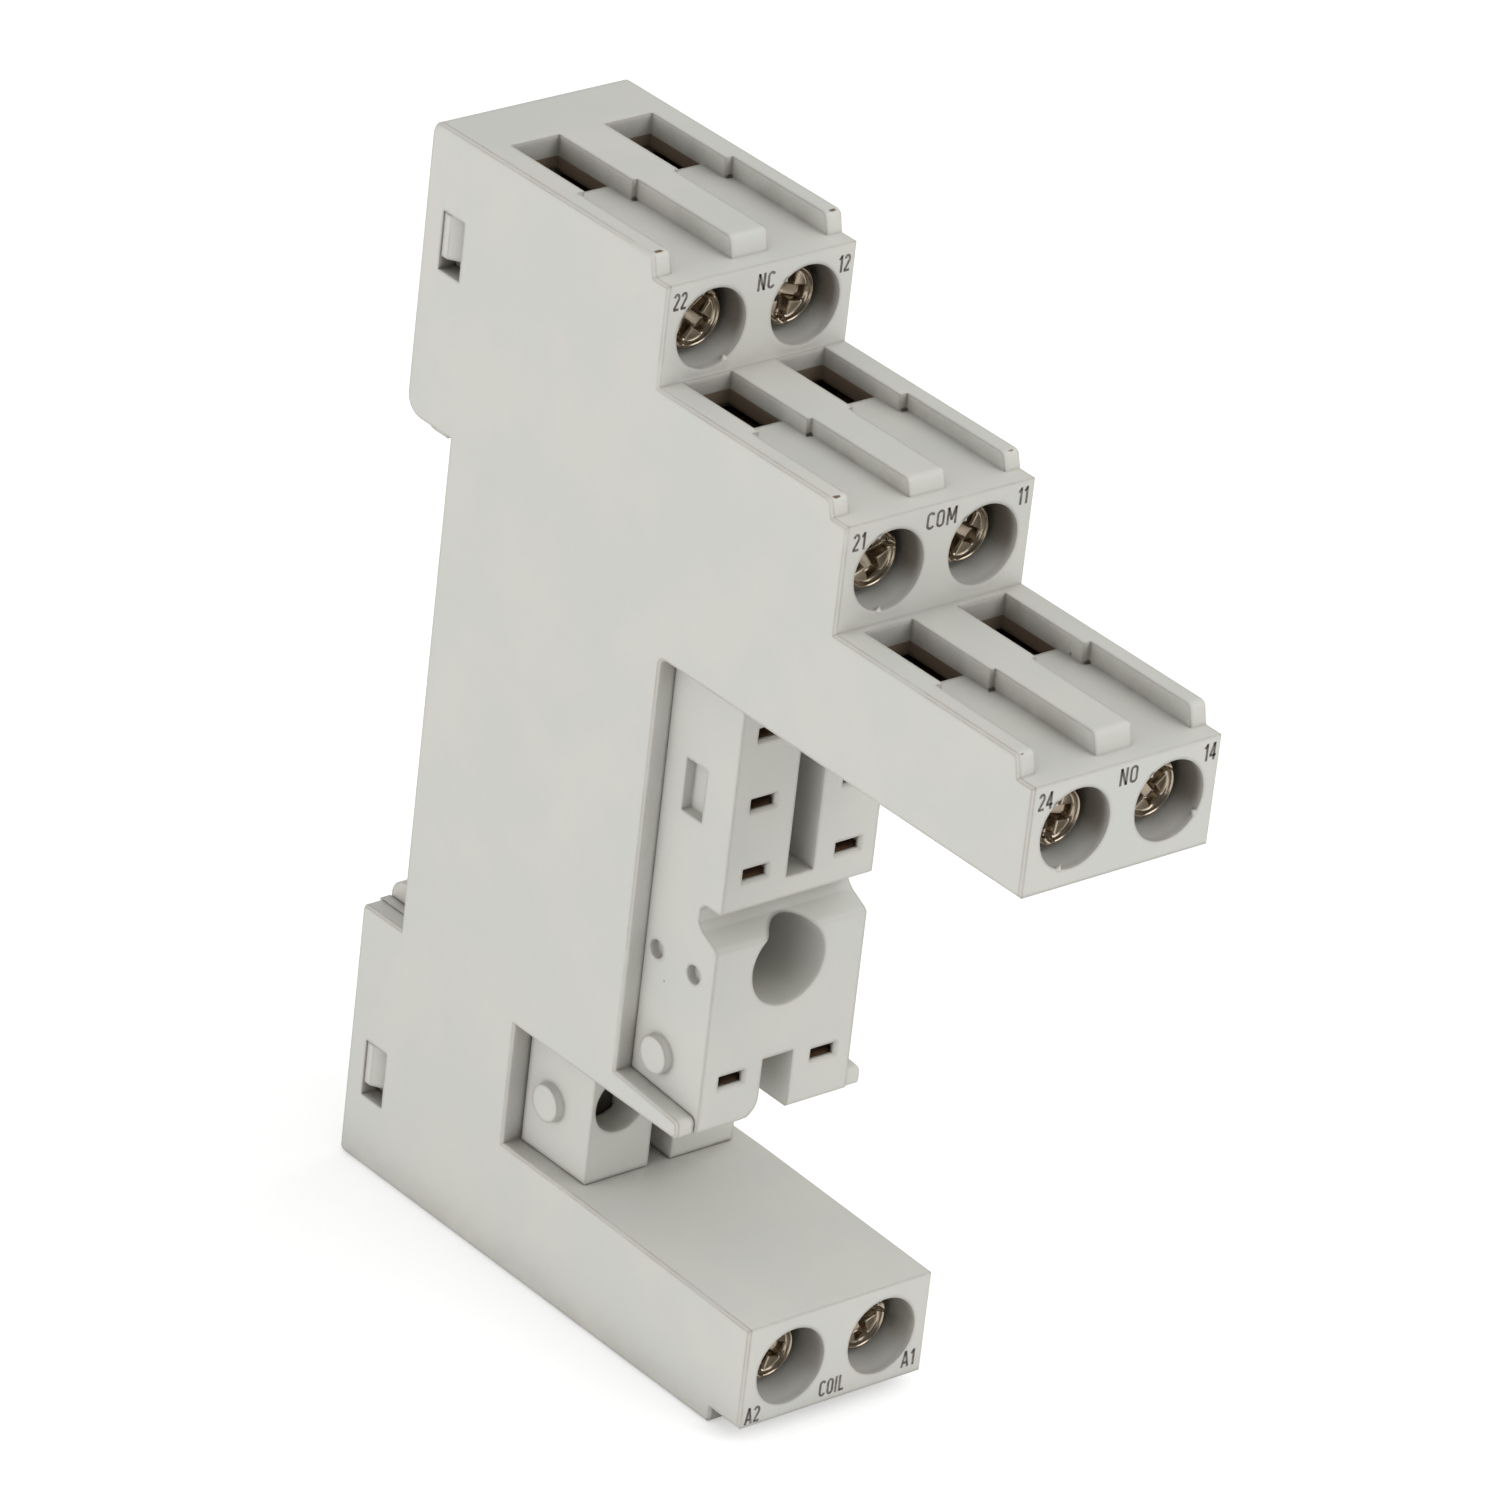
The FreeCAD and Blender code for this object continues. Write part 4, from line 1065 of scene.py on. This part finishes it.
@dataclass
class LatchSpring:
    """Round wire return spring with closed ends, wound where the CAD has it."""

    wire: float = 0.35
    outer: float = 2.2
    turns: float = 5.25
    closed_turns: float = 0.9
    closed_pitch: float = 1.04
    stroke: float = 1.8
    steps: int = 30
    sides: int = 12

    def _climb(self, turn: float, tall: float) -> float:
        """Height of the wire's middle after some turns.

        Args:
            turn: Turns from the lower end.
            tall: Height from the first to the last middle, in millimetres.

        Returns:
            The height above the first middle, in millimetres.
        """
        low, high = self.closed_turns, self.turns - self.closed_turns
        closed = self.wire * self.closed_pitch * self.closed_turns
        if turn < low:
            return closed * turn / low
        if turn > high:
            return tall - closed * (self.turns - turn) / self.closed_turns
        return closed + (tall - 2 * closed) * (turn - low) / (high - low)

    def build(self, material: Material) -> None:
        """Wind the spring where the CAD has it.

        Args:
            material: Its finish.
        """
        low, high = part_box("latch_spring")
        middle = (low + high) / 2 / MM
        tall = (high.z - low.z) / MM
        reach = (self.outer - self.wire) / 2
        points: Points = []
        count = int(self.turns * self.steps)
        for i in range(count + 1):
            turn = self.turns * i / count
            angle = 2 * math.pi * turn
            out = Vector((math.cos(angle), math.sin(angle), 0.0))
            rise = low.z / MM + self.wire / 2 + self._climb(turn, tall - self.wire)
            spot = Vector((middle.x, middle.y, rise))
            for side in range(self.sides):
                around = 2 * math.pi * side / self.sides
                push = out * (reach + self.wire / 2 * math.cos(around))
                points.append((spot + push + Vector((0, 0, self.wire / 2 * math.sin(around)))) * MM)
        faces: Faces = [tuple(range(self.sides))]
        for i in range(count):
            for side in range(self.sides):
                a, b = i * self.sides + side, i * self.sides + (side + 1) % self.sides
                faces.append((a, a + self.sides, b + self.sides, b))
        faces.append(tuple(count * self.sides + side for side in reversed(range(self.sides))))
        piece = mesh_piece("wound_spring", points, faces, material, "socket")
        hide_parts("latch_spring")
        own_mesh(piece)
        LOG.info("latch spring: %.2f mm tall", tall)


@dataclass
class CarriedParts:
    """The CAD solids that stay, with their finishes."""

    looks: dict[str, Look] = field(default_factory=lambda: {
        "housing": Look.HOUSING, "relay_seat": Look.SEAT, "rail_base": Look.BASE, "rail_latch": Look.BASE,
        "latch_spring": Look.SPRING})

    def look_of(self, node: str) -> Look:
        """The finish of a node: clamps are zinc plated and contacts are copper alloy."""
        return self.looks.get(node, Look.ZINC if node.startswith("clamp") else Look.COPPER)

    def build(self, finishes: dict[Look, Material]) -> None:
        """Dress every carried node.

        Args:
            finishes: The finish of each look.
        """
        for name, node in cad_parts.items():
            node.data.materials.clear()
            node.data.materials.append(finishes[self.look_of(name)])
        LOG.info("carried solids: %d", len(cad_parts))


@dataclass
class Studio:
    """Pale floor, soft light and the camera."""

    lens: float = 242.21
    place: Vector = field(default_factory=lambda: Vector((-0.37569, -0.416815, 0.33422)))
    ahead: Vector = field(default_factory=lambda: Vector((0.59157, 0.66104, -0.46159)))
    upward: Vector = field(default_factory=lambda: Vector((0.21964, 0.41873, 0.88115)))
    sensor: float = 36.0
    near: float = 0.01
    aim: Vector = field(default_factory=lambda: Vector((0, 0, 0.037)))
    floor_half: float = 2.5
    floor_glow: float = 0.44
    floor_below: float = 0.00005
    paper_tones: tuple[Color, Color] = ((0.8, 0.8, 0.8), (0.82, 0.82, 0.82))
    paper_scale: float = 40.0
    sky: float = 0.62
    dim_sky: float = 0.14
    # Place, edge in metres and power in watts
    lamps: dict[str, tuple[Triple, float, float]] = field(default_factory=lambda: {
        "lamp_left": ((-1.7, -0.5, 0.24), 1.0, 5.2),
        "lamp_rear_left": ((-1.7, 0.3, 0.3), 1.0, 5.9),
        "lamp_right": ((1.3, 0.1, 0.9), 1.0, 3.2),
        "lamp_front_right": ((0.6, -1.1, 1.0), 1.0, 7.2)})

    def _floor(self) -> None:
        """Lay the floor: lit as pale matt paper, and near white to the camera and in reflections."""
        half = self.floor_half
        mesh = bpy.data.meshes.new("floor")
        corners = [(-half, -half, 0), (half, -half, 0), (half, half, 0), (-half, half, 0)]
        mesh.from_pydata(corners, [], [(0, 1, 2, 3)])
        made = bpy.data.materials.new("floor_paper")
        made.use_nodes = True
        wires = Wiring(made.node_tree)
        paper = made.node_tree.nodes["Principled BSDF"]
        mottle = wires.noise(wires.place(), self.paper_scale)
        wires.join(wires.blend(mottle, *self.paper_tones), paper.inputs["Base Color"])
        paper.inputs["Roughness"].default_value = 0.9
        paper.inputs["Specular IOR Level"].default_value = 0.1
        path = wires.node("ShaderNodeLightPath").outputs
        seen = wires.math("MAXIMUM", path["Is Camera Ray"], path["Is Glossy Ray"])
        seen = wires.math("MAXIMUM", seen, path["Is Transmission Ray"])
        wires.join(wires.times(seen, self.floor_glow), paper.inputs["Emission Strength"])
        paper.inputs["Emission Color"].default_value = (1, 1, 1, 1)
        mesh.materials.append(made)
        floor = bpy.data.objects.new("floor", mesh)
        floor.location.z = -self.floor_below
        bpy.context.scene.collection.objects.link(floor)

    def _world(self) -> None:
        """Set an even sky that the camera sees as white and that gloss sees dimmer than the lamps."""
        world = bpy.data.worlds.new("studio_sky")
        world.use_nodes = True
        bpy.context.scene.world = world
        wires = Wiring(world.node_tree)
        back = world.node_tree.nodes["Background"]
        path = wires.node("ShaderNodeLightPath").outputs
        seen = wires.math("MAXIMUM", path["Is Camera Ray"], path["Is Transmission Ray"])
        dimmed = wires.times(path["Is Glossy Ray"], self.sky - self.dim_sky)
        level = wires.math("SUBTRACT", wires.slope(seen, 1.0 - self.sky, self.sky), dimmed)
        back.inputs["Color"].default_value = (1, 1, 1, 1)
        wires.join(level, back.inputs["Strength"])

    def _lamp(self, name: str, place: Triple, size: float, power: float) -> None:
        """Hang one square lamp that points at the object.

        Args:
            name: The lamp's name.
            place: Where it hangs, in metres.
            size: Its edge in metres.
            power: Its power in watts.
        """
        light = bpy.data.lights.new(name, "AREA")
        light.size = size
        light.energy = power
        hung = bpy.data.objects.new(name, light)
        hung.location = place
        hung.rotation_euler = (self.aim - Vector(place)).to_track_quat("-Z", "Y").to_euler()
        bpy.context.scene.collection.objects.link(hung)

    def _camera(self) -> None:
        """Place the camera with its own tilt."""
        ahead = self.ahead.normalized()
        up = (self.upward - ahead * self.upward.dot(ahead)).normalized()
        right = ahead.cross(up)
        data = bpy.data.cameras.new("camera")
        data.lens = self.lens
        data.sensor_width = self.sensor
        data.clip_start = self.near
        camera = bpy.data.objects.new("camera", data)
        turn = Matrix((right, up, -ahead)).transposed()
        camera.matrix_world = Matrix.Translation(self.place) @ turn.to_4x4()
        bpy.context.scene.collection.objects.link(camera)
        bpy.context.scene.camera = camera

    def build(self) -> None:
        """Set up floor, sky, lamps and camera."""
        self._floor()
        self._world()
        for name, (place, size, power) in self.lamps.items():
            self._lamp(name, place, size, power)
        self._camera()
        bpy.context.scene.view_settings.view_transform = "Standard"
        LOG.info("studio ready: %d lamps", len(self.lamps))


@dataclass(frozen=True)
class HousingMarks:
    """Where the housing is shaded or stained, worked out from the tiers, in millimetres."""

    # Painted shade in the ducts: from and to this far behind each face
    duct_front: float = 13.35
    duct_rear: float = 18.75
    # Painted shadows at the steps of the channels: place behind each face, height above the mouth, size, and
    # X of the columns
    step_back: float = 11.0
    step_above: float = 0.05
    step_size: float = 0.2
    step_columns: Span = (-1.5, 6.1)
    # Painted shade in the bores: its reach, and its strength in the tiers and in the coil
    bore_reach: float = 2.95
    tier_amount: float = 0.75
    coil_amount: float = 0.25
    # Rubbed brown streaks across the front ends of the outer walls: X, Y, Z and size
    streaks: Spots = (
        (-6.85, 9.0, 74.6, 0.2), (6.9, 8.9, 74.6, 0.17), (-6.95, -9.9, 66.3, 0.16), (6.9, -9.9, 66.3, 0.12),
        (-7.1, -29.2, 57.9, 0.11))

    def finish(self) -> MouldedPlastic:
        """Put the marks on the plastic.

        Returns:
            The housing's finish.
        """
        return MouldedPlastic(
            "housing_plastic_look",
            # Painted shade in the wire ducts
            ducts=tuple((face.y + self.duct_front, face.y + self.duct_rear, face.mouth, face.axis)
                        for face in FACES),
            stains=self.streaks,
            # Painted shadows at the steps of the channels
            shades=tuple((x, face.y + self.step_back, face.mouth + self.step_above, self.step_size)
                         for face in FACES if face.tier is not Tier.COIL for x in self.step_columns),
            # Painted shade in the bores
            bores=tuple((side.value * COLUMN, face.axis, face.y, self.bore_reach,
                         self.coil_amount if face.tier is Tier.COIL else self.tier_amount)
                        for face in FACES for side in Side))


def main() -> None:
    """Build the looks in order."""
    logging.basicConfig(level=logging.INFO, format="%(name)s: %(message)s")
    SharedEffects().build()
    finishes = {
        Look.HOUSING: HousingMarks().finish().build(),
        Look.SEAT: MouldedPlastic("seat_plastic_look", tone=(0.64, 0.642, 0.6), hollow_shade_amount=0.4,
                                  warm_tone=(0.67, 0.66, 0.605), tan_side=-6.1).build(),
        Look.BASE: MouldedPlastic("base_plastic_look", tone=(0.645, 0.647, 0.605),
                                  warm_tone=(0.675, 0.665, 0.61)).build(),
        Look.ZINC: PlatedSteel("zinc_plate", tone=(0.56, 0.43, 0.33), film_and_shade_tone=(0.24, 0.15, 0.1),
                               smoothest=0.26).build(),
        Look.COPPER: CopperAlloy("contact_alloy").build(),
        Look.SPRING: PlatedSteel("spring_wire", tone=(0.5, 0.49, 0.47), smoothest=0.2).build(),
    }
    CarriedParts().build(finishes)
    TerminalScrews().build(PlatedSteel("nickel_plate").build())
    TerminalMarks().build(PrintedInk("terminal_ink").build())
    MouldTraces().build(MouldedPlastic("torn_plastic_look", tone=(0.78, 0.77, 0.72),
                                       warm_tone=(0.8, 0.78, 0.71)).build())
    LatchSpring().build(finishes[Look.SPRING])
    Studio().build()


if __name__ == "__main__":
    main()
